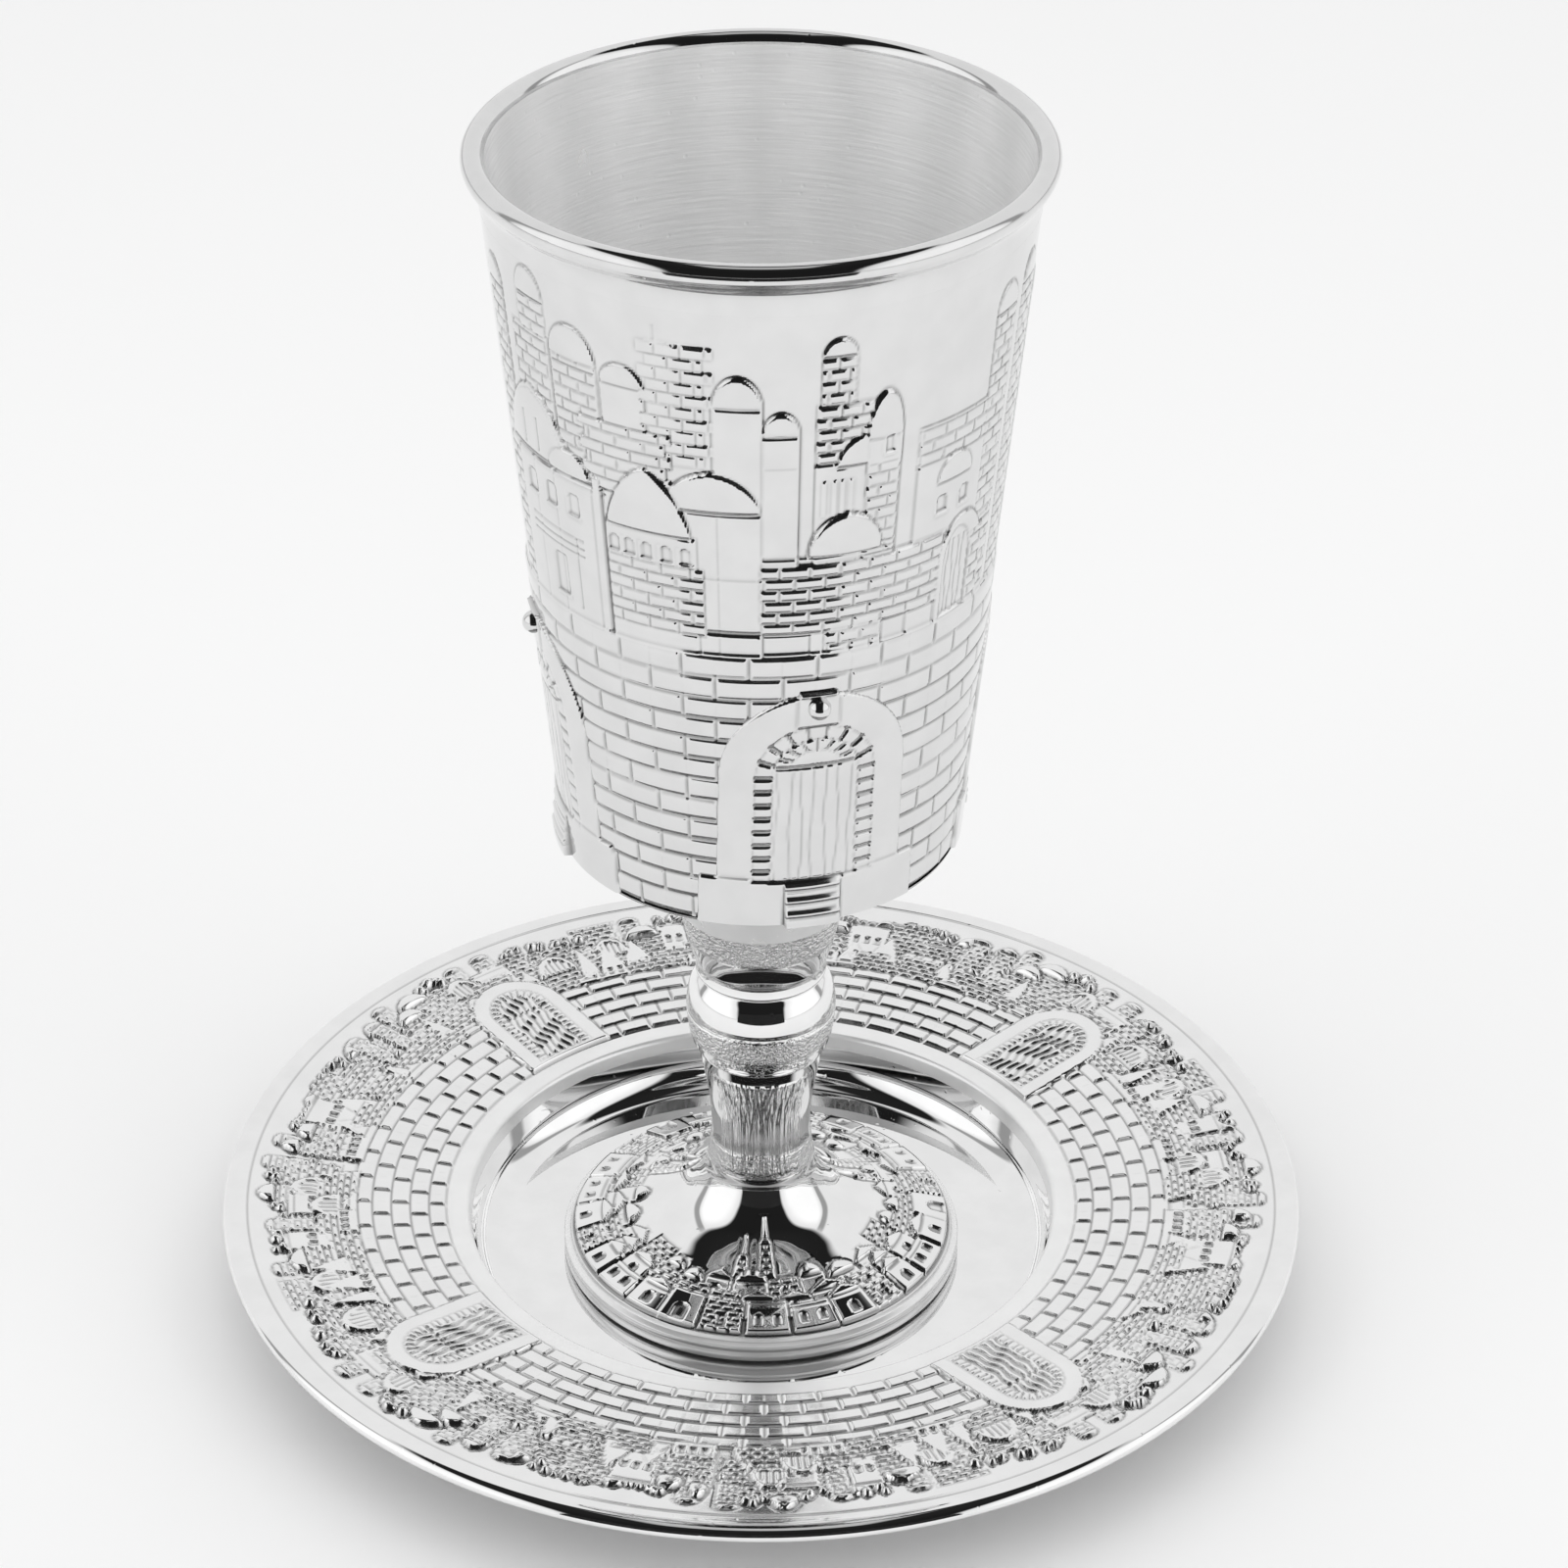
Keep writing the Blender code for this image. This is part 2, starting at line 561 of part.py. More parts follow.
def main():
    """Clear the scene and build the four castings."""
    for item in list(bpy.data.objects):
        bpy.data.objects.remove(item)
    cup = bpy.data.collections.new("kiddush_cup")
    scrap = bpy.data.collections.new("cutters")
    bpy.context.scene.collection.children.link(cup)
    bpy.context.scene.collection.children.link(scrap)
    satin = metal("satin_plate", (0.86, 0.86, 0.87), 0.28)
    mirror = metal("mirror_plate", (0.90, 0.90, 0.91), 0.08)
    finish(make_saucer(cup, scrap), satin)
    finish(make_foot(cup, scrap), mirror)
    finish(make_stem(cup), mirror)
    finish(make_bowl(cup, scrap), satin)


main()
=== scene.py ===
"""A kiddush cup on its saucer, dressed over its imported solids: bright plated castings with fine relief.

Formulas work in millimetres in the frame of the solids: +Z up, the front towards -Y, and angles in
degrees from the front, growing to the right.
"""

import bpy
import numpy as np
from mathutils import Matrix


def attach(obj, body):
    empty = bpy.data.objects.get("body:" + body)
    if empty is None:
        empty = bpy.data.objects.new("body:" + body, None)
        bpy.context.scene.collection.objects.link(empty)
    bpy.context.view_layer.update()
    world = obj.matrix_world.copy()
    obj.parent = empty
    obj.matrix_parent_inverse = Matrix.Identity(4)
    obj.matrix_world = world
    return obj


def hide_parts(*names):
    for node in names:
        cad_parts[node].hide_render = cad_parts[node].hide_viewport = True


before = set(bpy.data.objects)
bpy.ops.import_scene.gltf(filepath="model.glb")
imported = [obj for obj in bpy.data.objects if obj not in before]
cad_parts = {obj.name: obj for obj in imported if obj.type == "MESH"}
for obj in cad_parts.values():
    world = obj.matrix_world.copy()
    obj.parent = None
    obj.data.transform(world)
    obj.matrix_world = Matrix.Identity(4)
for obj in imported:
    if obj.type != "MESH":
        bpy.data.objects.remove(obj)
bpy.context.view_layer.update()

# Bright plate on every casting. Nickel silver over zinc, polished and then plated, so it keeps a soft
# orange-peel, hairline scratches from wiping and a few pits of the casting below.


def surface_group():
    """Wear and painted shade of a plated surface: a roughness, a tint and a bumped normal that wander over the metal.
    It reads a piece's own attribute "finish_and_painted_shade": creases of the relief, made rougher and darkened with
    painted shade, then cast grain and cast streaks. The painted lightness input scales the tint: above 1 it is painted
    light, below 1 painted shade."""
    group = bpy.data.node_groups.new("plated_surface", "ShaderNodeTree")
    face = group.interface
    for name, kind, value in (
        ("Satin", "NodeSocketFloat", 0.2),
        ("Brushing", "NodeSocketFloat", 0.1),
        ("Waviness", "NodeSocketFloat", 0.1),
        ("Pits", "NodeSocketFloat", 0.1),
        ("Painted lightness", "NodeSocketFloat", 1.0),
    ):
        face.new_socket(name, in_out="INPUT", socket_type=kind).default_value = value
    for name, kind in (("Colour", "NodeSocketColor"), ("Roughness", "NodeSocketFloat"), ("Normal", "NodeSocketVector")):
        face.new_socket(name, in_out="OUTPUT", socket_type=kind)
    nodes, links = group.nodes, group.links
    given, result = nodes.new("NodeGroupInput"), nodes.new("NodeGroupOutput")
    place = nodes.new("ShaderNodeTexCoord").outputs["Object"]

    def noise(scale, detail, stretch=(1.0, 1.0, 1.0)):
        mapping = nodes.new("ShaderNodeMapping")
        mapping.inputs["Scale"].default_value = stretch
        links.new(place, mapping.inputs["Vector"])
        texture = nodes.new("ShaderNodeTexNoise")
        texture.inputs["Scale"].default_value = scale
        texture.inputs["Detail"].default_value = detail
        links.new(mapping.outputs["Vector"], texture.inputs["Vector"])
        return texture.outputs["Fac"]

    def sum_of(a, b, factor):
        node = nodes.new("ShaderNodeMath")
        node.operation = "MULTIPLY_ADD"
        links.new(a, node.inputs[0])
        if isinstance(factor, float):
            node.inputs[1].default_value = factor
        else:
            links.new(factor, node.inputs[1])
        if isinstance(b, float):
            node.inputs[2].default_value = b
        else:
            links.new(b, node.inputs[2])
        return node.outputs[0]

    def ranged(value, from_min, from_max, to_min, to_max):
        node = nodes.new("ShaderNodeMapRange")
        for socket, number in zip(("From Min", "From Max", "To Min", "To Max"), (from_min, from_max, to_min, to_max)):
            node.inputs[socket].default_value = number
        links.new(value, node.inputs["Value"])
        return node.outputs["Result"]

    attribute = nodes.new("ShaderNodeAttribute")
    attribute.attribute_name = "finish_and_painted_shade"
    finish_and_painted_shade = nodes.new("ShaderNodeSeparateXYZ")
    links.new(attribute.outputs["Vector"], finish_and_painted_shade.inputs[0])
    crease, grainy, streaky = finish_and_painted_shade.outputs
    pit = nodes.new("ShaderNodeTexVoronoi")
    pit.inputs["Scale"].default_value = 420.0
    links.new(place, pit.inputs["Vector"])
    swell = noise(90.0, 2.0)
    dust = noise(240.0, 4.0)
    grain = noise(2300.0, 2.0)
    brush = noise(900.0, 4.0, (0.16, 0.16, 2.6))
    streak = noise(1900.0, 1.5, (1.0, 1.0, 0.012))
    height = sum_of(swell, 0.0, given.outputs["Waviness"])
    height = sum_of(brush, height, given.outputs["Brushing"])
    height = sum_of(ranged(pit.outputs["Distance"], 0.02, 0.12, -1.0, 0.0), height, given.outputs["Pits"])
    height = sum_of(sum_of(grainy, 0.0, 2.8), height, grain)
    height = sum_of(sum_of(streaky, 0.0, 2.4), height, streak)
    bump = nodes.new("ShaderNodeBump")
    bump.inputs["Distance"].default_value = 0.0002
    bump.inputs["Strength"].default_value = 1.0
    links.new(height, bump.inputs["Height"])
    links.new(bump.outputs["Normal"], result.inputs["Normal"])
    rough = sum_of(dust, given.outputs["Satin"], 0.06)
    rough = sum_of(crease, rough, 0.25)
    rough = sum_of(grainy, rough, 0.08)
    rough = sum_of(streaky, rough, 0.10)
    links.new(rough, result.inputs["Roughness"])
    # The tint wanders between 0.88 and 0.92 with the dust noise, then the painted lightness input scales it: above 1
    # painted light, below 1 painted shade.
    shade = sum_of(ranged(dust, 0.35, 0.65, 0.88, 0.92), 0.0, given.outputs["Painted lightness"])
    # Painted shade: the tint falls to 0.42 where the crease channel is full, in the creases of the relief and in the
    # bands marked inside the bowl.
    shade = sum_of(shade, 0.0, ranged(crease, 0.0, 1.0, 1.0, 0.42))
    tint = nodes.new("ShaderNodeCombineColor")
    for channel in ("Red", "Green", "Blue"):
        links.new(shade, tint.inputs[channel])
    links.new(tint.outputs["Color"], result.inputs["Colour"])
    return group


plated_surface = surface_group()


def plate(name, satin, brushing, waviness, pits, painted_lightness=1.0, metallic=1.0):
    """A plated material: how satin it is, how brushed, how wavy, how pitted, how much painted lightness scales its tint
    (above 1 painted light, below 1 painted shade) and how metallic.
    """
    material = bpy.data.materials.new(name)
    material.use_nodes = True
    nodes, links = material.node_tree.nodes, material.node_tree.links
    shader = nodes["Principled BSDF"]
    shader.inputs["Metallic"].default_value = metallic
    surface = nodes.new("ShaderNodeGroup")
    surface.node_tree = plated_surface
    for socket, value in (("Satin", satin), ("Brushing", brushing), ("Waviness", waviness), ("Pits", pits), ("Painted lightness", painted_lightness)):
        surface.inputs[socket].default_value = value
    links.new(surface.outputs["Colour"], shader.inputs["Base Color"])
    links.new(surface.outputs["Roughness"], shader.inputs["Roughness"])
    links.new(surface.outputs["Normal"], shader.inputs["Normal"])
    return material


# Saucer: one casting. A flat polished well for the foot, a broad rim that slopes up, and a rolled edge.
# The relief on the rim is five rings of stones with four gates, and the old town outside them.


def soft_step(distance, width):
    """Smooth rise from 0 to 1 while a distance goes from minus half the width to plus half of it."""
    t = np.clip(distance / width + 0.5, 0.0, 1.0)
    return t * t * (3.0 - 2.0 * t)


def new_relief(turns, ups, radii):
    """A relief's grid: angles across in degrees, mm along the surface, mm per degree, and heights."""
    return {"turn": turns, "up": ups, "scale": np.radians(radii)[:, None], "h": np.zeros((len(ups), len(turns)))}


def window(relief, left, right, low, high, margin=0.6):
    """The part of a grid near four limits: index, mm across from the middle, mm up, and half width."""
    spare = np.degrees(margin / (relief["scale"].min() * 57.2958))
    cols = slice(*np.searchsorted(relief["turn"], (left - spare, right + spare)))
    rows = slice(*np.searchsorted(relief["up"], (low - margin, high + margin)))
    scale = relief["scale"][rows]
    across = (relief["turn"][cols][None, :] - (left + right) / 2) * scale
    return (rows, cols), across, relief["up"][rows][:, None] + 0 * across, (right - left) / 2 * scale


def lay(relief, index, inside, level, soft=0.26, line=0.05):
    """Lay a shape over what is behind it: its level counts where the inside distance is positive, and a
    fine line runs round it at the foot of its edge."""
    share = soft_step(inside, soft)
    relief["h"][index] += (level - relief["h"][index]) * share
    relief["h"][index] -= line * np.exp(-((2.0 * (inside + 0.12) / 0.36) ** 2))


def cut(relief, index, distance, depth, width):
    """Cut a groove, or raise a bead for a negative depth: a bell of a given width round a distance."""
    relief["h"][index] -= depth * np.exp(-((2.0 * distance / width) ** 2))


def brick_joints(across, up, course, length, width, shift=0.0):
    """Distance-based joints of a brick bond: 1 in the middle of a joint and 0 on a brick."""
    row = np.floor(up / course)
    beside = across / length + 0.5 * np.mod(row, 2) + shift
    to_joint = np.abs(beside - np.round(beside)) * length
    to_bed = np.abs(up / course - np.round(up / course)) * course
    return np.exp(-((2.0 * np.minimum(to_joint, to_bed) / width) ** 2))


def flat(relief, left, right, low, high, level, soft=0.24):
    """A flat block: the inside distance is the least distance to its four sides."""
    index, across, up, half = window(relief, left, right, low, high)
    inside = np.minimum(half - np.abs(across), np.minimum(up - low, high - up))
    lay(relief, index, inside, level, soft)


def bricks(relief, left, right, low, high, level, course=1.43, length=3.2, depth=0.17, width=0.38, ragged=0.0, line=0.07):
    """A wall of bricks; ragged moves the sides in and out by that many mm on alternate courses."""
    index, across, up, half = window(relief, left, right, low, high)
    tooth = ragged * (np.mod(np.floor((up - low) / course), 2) - 0.5)
    inside = np.minimum(half + tooth - np.abs(across), np.minimum(up - low, high - up))
    joints = brick_joints(across, up - low, course, length, width, 0.23)
    lay(relief, index, inside, level - depth * joints, line=line)


def tower(relief, left, right, low, top, crown, level, course=0.0, length=2.0, cap=True, swell=0.06):
    """A round-headed tower: a rectangle under half an ellipse, with bricks if a course is given."""
    index, across, up, half = window(relief, left, right, low, top)
    spring = top - crown
    above = np.maximum(up - spring, 0.0) / crown
    rim = 1.0 - np.sqrt((across / half) ** 2 + above ** 2)
    inside = np.where(up > spring, rim * np.minimum(half, crown), np.minimum(half - np.abs(across), up - low))
    face = level + 0.0 * up
    if course:
        joints = brick_joints(across, spring - up, course, length, 0.38)
        face -= 0.17 * joints * (up < spring + 0.1)
    face += swell * np.sqrt(np.clip(rim, 0.0, 1.0)) * (up > spring)
    lay(relief, index, inside, face)
    if cap:
        near = np.where(np.abs(across) < half, np.abs(up - spring), 9.0)
        cut(relief, index, near, 0.13, 0.36)


def dome(relief, left, right, low, top, level, pointed=0.0, swell=0.16, base_line=True):
    """A dome on its base line: half an ellipse, drawn to a point where pointed is above 0, and pillowed."""
    index, across, up, half = window(relief, left, right, low, top)
    rise = np.clip((up - low) / (top - low), 0.0, 1.0)
    reach = np.sqrt(1.0 - rise ** 2) * (1.0 - pointed) + (1.0 - rise ** 1.35) * pointed
    slope = np.minimum(1.0, 0.35 + 0.65 * (1.0 - rise))
    inside = np.minimum((half * reach - np.abs(across)) * slope, up - low)
    inside = np.minimum(inside, (top - up) * 1.0 + 0.12)
    full = np.clip(1.0 - (across / half) ** 2 - rise ** 2, 0.0, 1.0)
    lay(relief, index, inside, level + swell * np.sqrt(full))
    if base_line:
        near = np.where(np.abs(across) < half, np.abs(up - low), 9.0)
        cut(relief, index, near, 0.13, 0.36)


def recess(relief, middle, low, wide, high, depth=0.16, arched=True, sill=True):
    """A window: a recess that is round at the top if arched, with a raised sill and one raised side."""
    scale = np.interp(low, relief["up"], relief["scale"][:, 0])
    reach = wide / 2 / scale
    index, across, up, half = window(relief, middle - reach, middle + reach, low, low + high)
    spring = low + high - (wide / 2 if arched else 0.0)
    above = np.maximum(up - spring, 0.0)
    inside = np.minimum(wide / 2 - np.hypot(across, above), up - low)
    relief["h"][index] -= depth * soft_step(inside, 0.26)
    if sill:
        cut(relief, index, np.where(np.abs(across) < wide / 2 + 0.2, np.abs(up - low + 0.15), 9.0), -0.12, 0.34)
        cut(relief, index, np.where((up > low) & (up < low + high), np.abs(across + wide / 2 + 0.1), 9.0), -0.08, 0.3)


def bed_line(relief, left, right, at, depth=0.13, width=0.34):
    """A level line, cut in or raised, from one angle to another."""
    index, across, up, half = window(relief, left, right, at, at)
    cut(relief, index, np.where(np.abs(across) < half, np.abs(up - at), 9.0), depth, width)


def plumb_line(relief, at, low, high, depth=0.13, width=0.34, sway=0.0):
    """An upright line; sway bends it from side to side by that many mm, as a hewn plank's edge."""
    index, across, up, half = window(relief, at, at, low, high, 0.9)
    bend = sway * np.sin((up - low) * 0.9 + at * 2.1)
    cut(relief, index, np.where((up > low) & (up < high), np.abs(across - bend), 9.0), depth, width)


def strip_grid(relief, line, outward):
    """Points of a relief on a turned surface: a line of radius and height, row by row, plus the relief's
    height along the line's outward direction."""
    radius = line[:, :1] + outward[:, :1] * relief["h"]
    height = line[:, 1:] + outward[:, 1:] * relief["h"]
    turn = np.radians(relief["turn"])[None, :]
    return np.stack((radius * np.sin(turn), -radius * np.cos(turn), height), axis=-1)


def crease_of(relief, closed=True, reach=0.5):
    """How far each point of a relief lies below the mean of what is round it, from 0 to 1."""
    mean = relief["h"]
    step = np.diff(relief["up"]).mean(), np.diff(relief["turn"]).mean() * relief["scale"].mean()
    for axis in (0, 1):
        away = np.arange(-round(reach / step[axis]), round(reach / step[axis]) + 1)
        weight = np.exp(-((1.6 * away * step[axis] / reach) ** 2))
        spare = [(0, 0), (0, 0)]
        spare[axis] = (len(away) // 2,) * 2
        padded = np.pad(mean, spare, mode="wrap" if closed and axis == 1 else "edge")
        shifted = [np.take(padded, np.arange(k, k + mean.shape[axis]), axis) for k in range(len(away))]
        mean = np.tensordot(weight / weight.sum(), np.stack(shifted), 1)
    return np.clip((mean - relief["h"]) / 0.075, 0.0, 1.0)


def mark(piece, finish_and_painted_shade):
    """Write the attribute that the plating reads: crease depth, which the plating makes rougher and darkens with
    painted shade, cast grain and cast streaks of each vertex.
    """
    piece.data.attributes.new("finish_and_painted_shade", "FLOAT_VECTOR", "POINT").data.foreach_set("vector", finish_and_painted_shade.reshape(-1))


def sheets(name, points, parts, material, closed=True, keep=None, crease=None):
    """One or more meshes over a grid of points in mm. Corner normals come from the whole grid by central
    differences, so that parts of one casting shade as one; closed joins the last column to the first."""
    rows, cols = points.shape[:2]
    before, after = (np.roll(points, 1, 1), np.roll(points, -1, 1)) if closed else (
        np.concatenate((points[:, :1], points[:, :-1]), 1), np.concatenate((points[:, 1:], points[:, -1:]), 1))
    below, above = np.concatenate((points[:1], points[:-1])), np.concatenate((points[1:], points[-1:]))
    normal = np.cross(after - before, above - below)
    normal /= np.linalg.norm(normal, axis=-1, keepdims=True) + 1e-12
    span = cols if closed else cols - 1
    made = []
    for number, part in enumerate(np.array_split(np.arange(span), parts)):
        used = np.append(part, part[-1] + 1) % cols
        corner = np.arange(rows * len(used)).reshape(rows, -1)
        quads = np.stack((corner[:-1, :-1], corner[:-1, 1:], corner[1:, 1:], corner[1:, :-1]), -1).reshape(-1, 4)
        if keep is not None:
            quads = quads[keep[:, part].reshape(-1)]
        piece = mesh_piece(name if parts == 1 else f"{name}_{number + 1}", points[:, used].reshape(-1, 3), quads, material)
        piece.data.normals_split_custom_set_from_vertices(normal[:, used].reshape(-1, 3))
        # The crease depth goes into the attribute, where the plating makes it rougher and darkens it with painted
        # shade.
        if crease is not None:
            mark(piece, crease[:, used].reshape(-1, 1) * (1.0, 0.0, 0.0))
        made.append(piece)
    return made


def mesh_piece(name, points, faces, material):
    """A smooth mesh of the root body from points in mm and faces."""
    mesh = bpy.data.meshes.new(name)
    mesh.from_pydata(points * 0.001, [], faces)
    mesh.shade_smooth()
    mesh.materials.append(material)
    piece = bpy.data.objects.new(name, mesh)
    bpy.context.scene.collection.objects.link(piece)
    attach(piece, "root")
    return piece


def through(points, steps):
    """A smooth profile through points: a Catmull-Rom curve, each span in even steps."""
    points = np.array(points, float)
    padded = np.vstack((2 * points[0] - points[1], points, 2 * points[-1] - points[-2]))
    t = np.linspace(0.0, 1.0, steps, endpoint=False)[:, None]
    spans = []
    for a, b, c, d in zip(padded, padded[1:], padded[2:], padded[3:]):
        spans.append(0.5 * (2 * b + (c - a) * t + (2 * a - 5 * b + 4 * c - d) * t ** 2 + (3 * b - a - 3 * c + d) * t ** 3))
    return np.vstack(spans + [points[-1:]])


def corner(middle, radius, start, end, steps):
    """A round corner: an arc round a middle, from one angle in degrees to another."""
    angle = np.radians(np.linspace(start, end, steps))
    return np.stack((middle[0] + radius * np.cos(angle), middle[1] + radius * np.sin(angle)), -1)


def turned(name, profile, columns, material):
    """A surface turned round the axis from a profile of radius and height whose outer side is on its
    right as it runs; a profile point on the axis closes in a fan."""
    profile = np.vstack([np.atleast_2d(p) for p in profile])
    angle = np.linspace(0.0, 2 * np.pi, columns, endpoint=False)
    ring = np.stack((np.sin(angle), -np.cos(angle)), -1)
    starts_on_axis, ends_on_axis = profile[0, 0] == 0.0, profile[-1, 0] == 0.0
    body = profile[int(starts_on_axis):len(profile) - int(ends_on_axis)]
    flat_part = body[:, None, :1] * ring[None]
    points = np.concatenate((flat_part, np.broadcast_to(body[:, None, 1:], (*flat_part.shape[:2], 1))), -1).reshape(-1, 3)
    corner_of = np.arange(len(body) * columns).reshape(len(body), columns)
    beside = np.roll(corner_of, -1, 1)
    faces = np.stack((corner_of[:-1], beside[:-1], beside[1:], corner_of[1:]), -1).reshape(-1, 4).tolist()
    for on_axis, end, row in ((starts_on_axis, profile[0], 0), (ends_on_axis, profile[-1], -1)):
        if on_axis:
            pole = len(points)
            points = np.vstack((points, (0.0, 0.0, end[1])))
            fan = np.stack((corner_of[row], beside[row], np.full(columns, pole)), -1)
            faces += (fan if row == -1 else fan[:, ::-1]).tolist()
    return mesh_piece(name, points, faces, material)


saucer_satin = plate("saucer_relief_plate", 0.08, 0.0, 0.05, 0.05)
saucer_polish = plate("saucer_polished_plate", 0.0, 0.0, 0.03, 0.05)

RIM_FOOT, RIM_END = np.array((38.0, 8.1)), np.array((62.8, 10.6))
rim_length = np.hypot(*(RIM_END - RIM_FOOT))
rim_along = (RIM_END - RIM_FOOT) / rim_length
rim_out = np.array((-rim_along[1], rim_along[0]))
RIM_COLUMNS = 1400
quarter = np.linspace(-45.0, 45.0, RIM_COLUMNS // 4, endpoint=False)
rim_ups = np.linspace(0.0, rim_length, 99)
rim = new_relief(quarter, rim_ups, RIM_FOOT[0] + rim_along[0] * rim_ups)


def rim_stones(relief, courses, course, blocks, level):
    """Rings of wedge-shaped stones: joints every whole number of degrees, shifted on alternate rings."""
    up = relief["up"][:, None] + 0 * relief["turn"][None, :]
    row = np.floor(up / course)
    beside = relief["turn"][None, :] / (360.0 / blocks) + 0.5 * np.mod(row, 2)
    to_joint = np.abs(beside - np.round(beside)) * 360.0 / blocks * relief["scale"]
    to_bed = np.abs(up / course - np.round(up / course)) * course
    joint = soft_step(0.20 - np.minimum(to_joint, to_bed), 0.30)
    number = np.floor(beside + 0.5) + 37.0 * row
    uneven = np.mod(np.sin(number * 12.9898) * 43758.5453, 1.0)
    return np.where(up < courses * course, level * (1.0 - 0.9 * joint) + 0.04 * uneven, 0.0)


def beads(relief, at, low, sizes, level, draw):
    """A clump of round crowns, as of trees: balls of given radii in mm set by a seeded draw."""
    for size in sizes:
        turn, centre = at + draw.uniform(-1.1, 1.1), low + draw.uniform(0.0, 1.3)
        index, across, up, half = window(relief, turn, turn, centre, centre, 1.5)
        away = np.hypot(across, up - centre)
        lay(relief, index, size - away, level + 0.9 * np.sqrt(np.clip(size ** 2 - away ** 2, 0.0, None)), 0.24, 0.10)


def ribbed(relief, left, right, low, top, level):
    """A great window: a round arch with a raised border and upright ribs inside it."""
    dome(relief, left, right, low, top, level + 0.12, swell=0.0, base_line=False)
    index, across, up, half = window(relief, left, right, low, top)
    rise = np.clip((up - low) / (top - low), 0.0, 1.2)
    inner = (0.74 - np.hypot(across / half, rise)) * np.minimum(half, top - low)
    ribs = 0.16 * (0.5 + 0.5 * np.cos(across * 2 * np.pi / 0.72))
    lay(relief, index, np.minimum(inner, up - low - 0.2), level - 0.10 + ribs, 0.24)


def rim_town(relief, foot, top, seed):
    """The crowded town outside the stones: layer before layer of walls, domes, towers, great windows and
    trees, each layer nearer and lower, from a seeded draw over one quarter."""
    draw = np.random.default_rng(seed)
    layers = (
        (0.42, 0.80, 1.00, 0.16, ("trees", "dome", "tower", "trees", "bricks")),
        (0.22, 0.55, 0.84, 0.26, ("bricks", "ribbed", "dome", "house", "tower", "bricks")),
        (0.00, 0.30, 0.58, 0.34, ("bricks", "bricks", "ribbed", "house", "roof")),
        (0.00, 0.12, 0.28, 0.42, ("bricks", "house", "bricks", "roof")))
    for layer, (base, low, high, level, kinds) in enumerate(layers):
        at = -44.8 + 0.9 * layer
        while at < 43.5:
            wide = draw.uniform(3.0, 5.8)
            left, right = at, min(at + wide, 44.9)
            bottom = foot + (top - foot) * base * draw.uniform(0.85, 1.0)
            peak = foot + (top - foot) * draw.uniform(low, high)
            rise = level + draw.uniform(-0.04, 0.06)
            kind = draw.choice(kinds)
            if kind == "trees":
                bricks(relief, left, right, bottom, peak - 1.6, rise, 0.80, 1.6, 0.24, 0.38)
                for turn in np.arange(left + 0.7, right, 1.5):
                    beads(relief, turn, peak - 1.6, draw.uniform(0.42, 0.72, 2), rise, draw)
            elif kind == "dome":
                bricks(relief, left, right, bottom, peak - 1.9, rise, 0.80, 1.6, 0.24, 0.38)
                dome(relief, left + 0.3, right - 0.3, peak - 2.0, peak, rise + 0.08, 0.2, 0.50)
            elif kind == "tower":
                middle = (left + right) / 2
                tower(relief, middle - 1.2, middle + 1.2, bottom, min(peak + 0.8, top), 0.9, rise + 0.06, 0.80, 1.3, swell=0.2)
                for side in (-1.9, 1.9):
                    beads(relief, middle + side, bottom + 1.0, (0.5, 0.6), rise, draw)
            elif kind == "ribbed":
                ribbed(relief, left, right, peak - 3.6, peak, rise)
                bricks(relief, left, right, bottom, peak - 3.7, rise, 0.80, 1.6, 0.24, 0.38)
            elif kind == "bricks":
                bricks(relief, left, right, bottom, peak, rise, 0.80, 1.6, 0.24, 0.38, 0.4)
            elif kind == "house":
                flat(relief, left, right, bottom, peak, rise)
                for turn in np.arange(left + 1.0, right - 0.6, 1.5):
                    recess(relief, turn, bottom + 0.4 * (peak - bottom), 0.8, 1.2, 0.22, True, False)
                bed_line(relief, left, right, peak - 0.5, 0.14, 0.36)
            else:
                dome(relief, left, right, bottom, peak, rise, 1.0, 0.0)
                bed_line(relief, left + 0.5, right - 0.5, bottom + 0.8, 0.14, 0.36)
            at += wide + draw.uniform(-0.8, 0.2)


def small_gate(relief):
    """The rim's gate in the middle of its quarter: an arched panel, a ring of stones and a plank door."""
    index, across, up, half = window(relief, -10.0, 10.0, 0.0, 17.5)
    up0, reach, spring = 0.6, 6.1, 10.5
    above = np.maximum(up - spring, 0.0)
    out = np.hypot(across, above)
    lay(relief, index, np.minimum(reach - out, up - up0 + 1.0), 0.52, 0.4)
    ring = np.minimum(4.0 - out, up - up0 - 0.6)
    lay(relief, index, ring, 0.44)
    along_ring = np.where(up > spring, np.arctan2(across, np.maximum(above, 1e-6)) * 3.6, 0.0)
    beside = np.where(up > spring, along_ring / 0.9, up / 0.9)
    to_joint = np.abs(beside - np.round(beside)) * 0.9
    stone = soft_step(ring - 0.1, 0.3) * soft_step(to_joint - 0.17, 0.2)
    relief["h"][index] += 0.16 * stone * (out > 2.7)
    door = np.minimum(2.75 - out, up - up0 - 0.6)
    planks = 0.5 + 0.12 * np.sin(across * 6.0 + 1.6 * np.sin(up * 0.7) + 0.9 * np.sin(up * 1.9 + across))
    lay(relief, index, door, planks)
    bed_line(relief, -4.2, 4.2, 9.7, 0.16, 0.4)


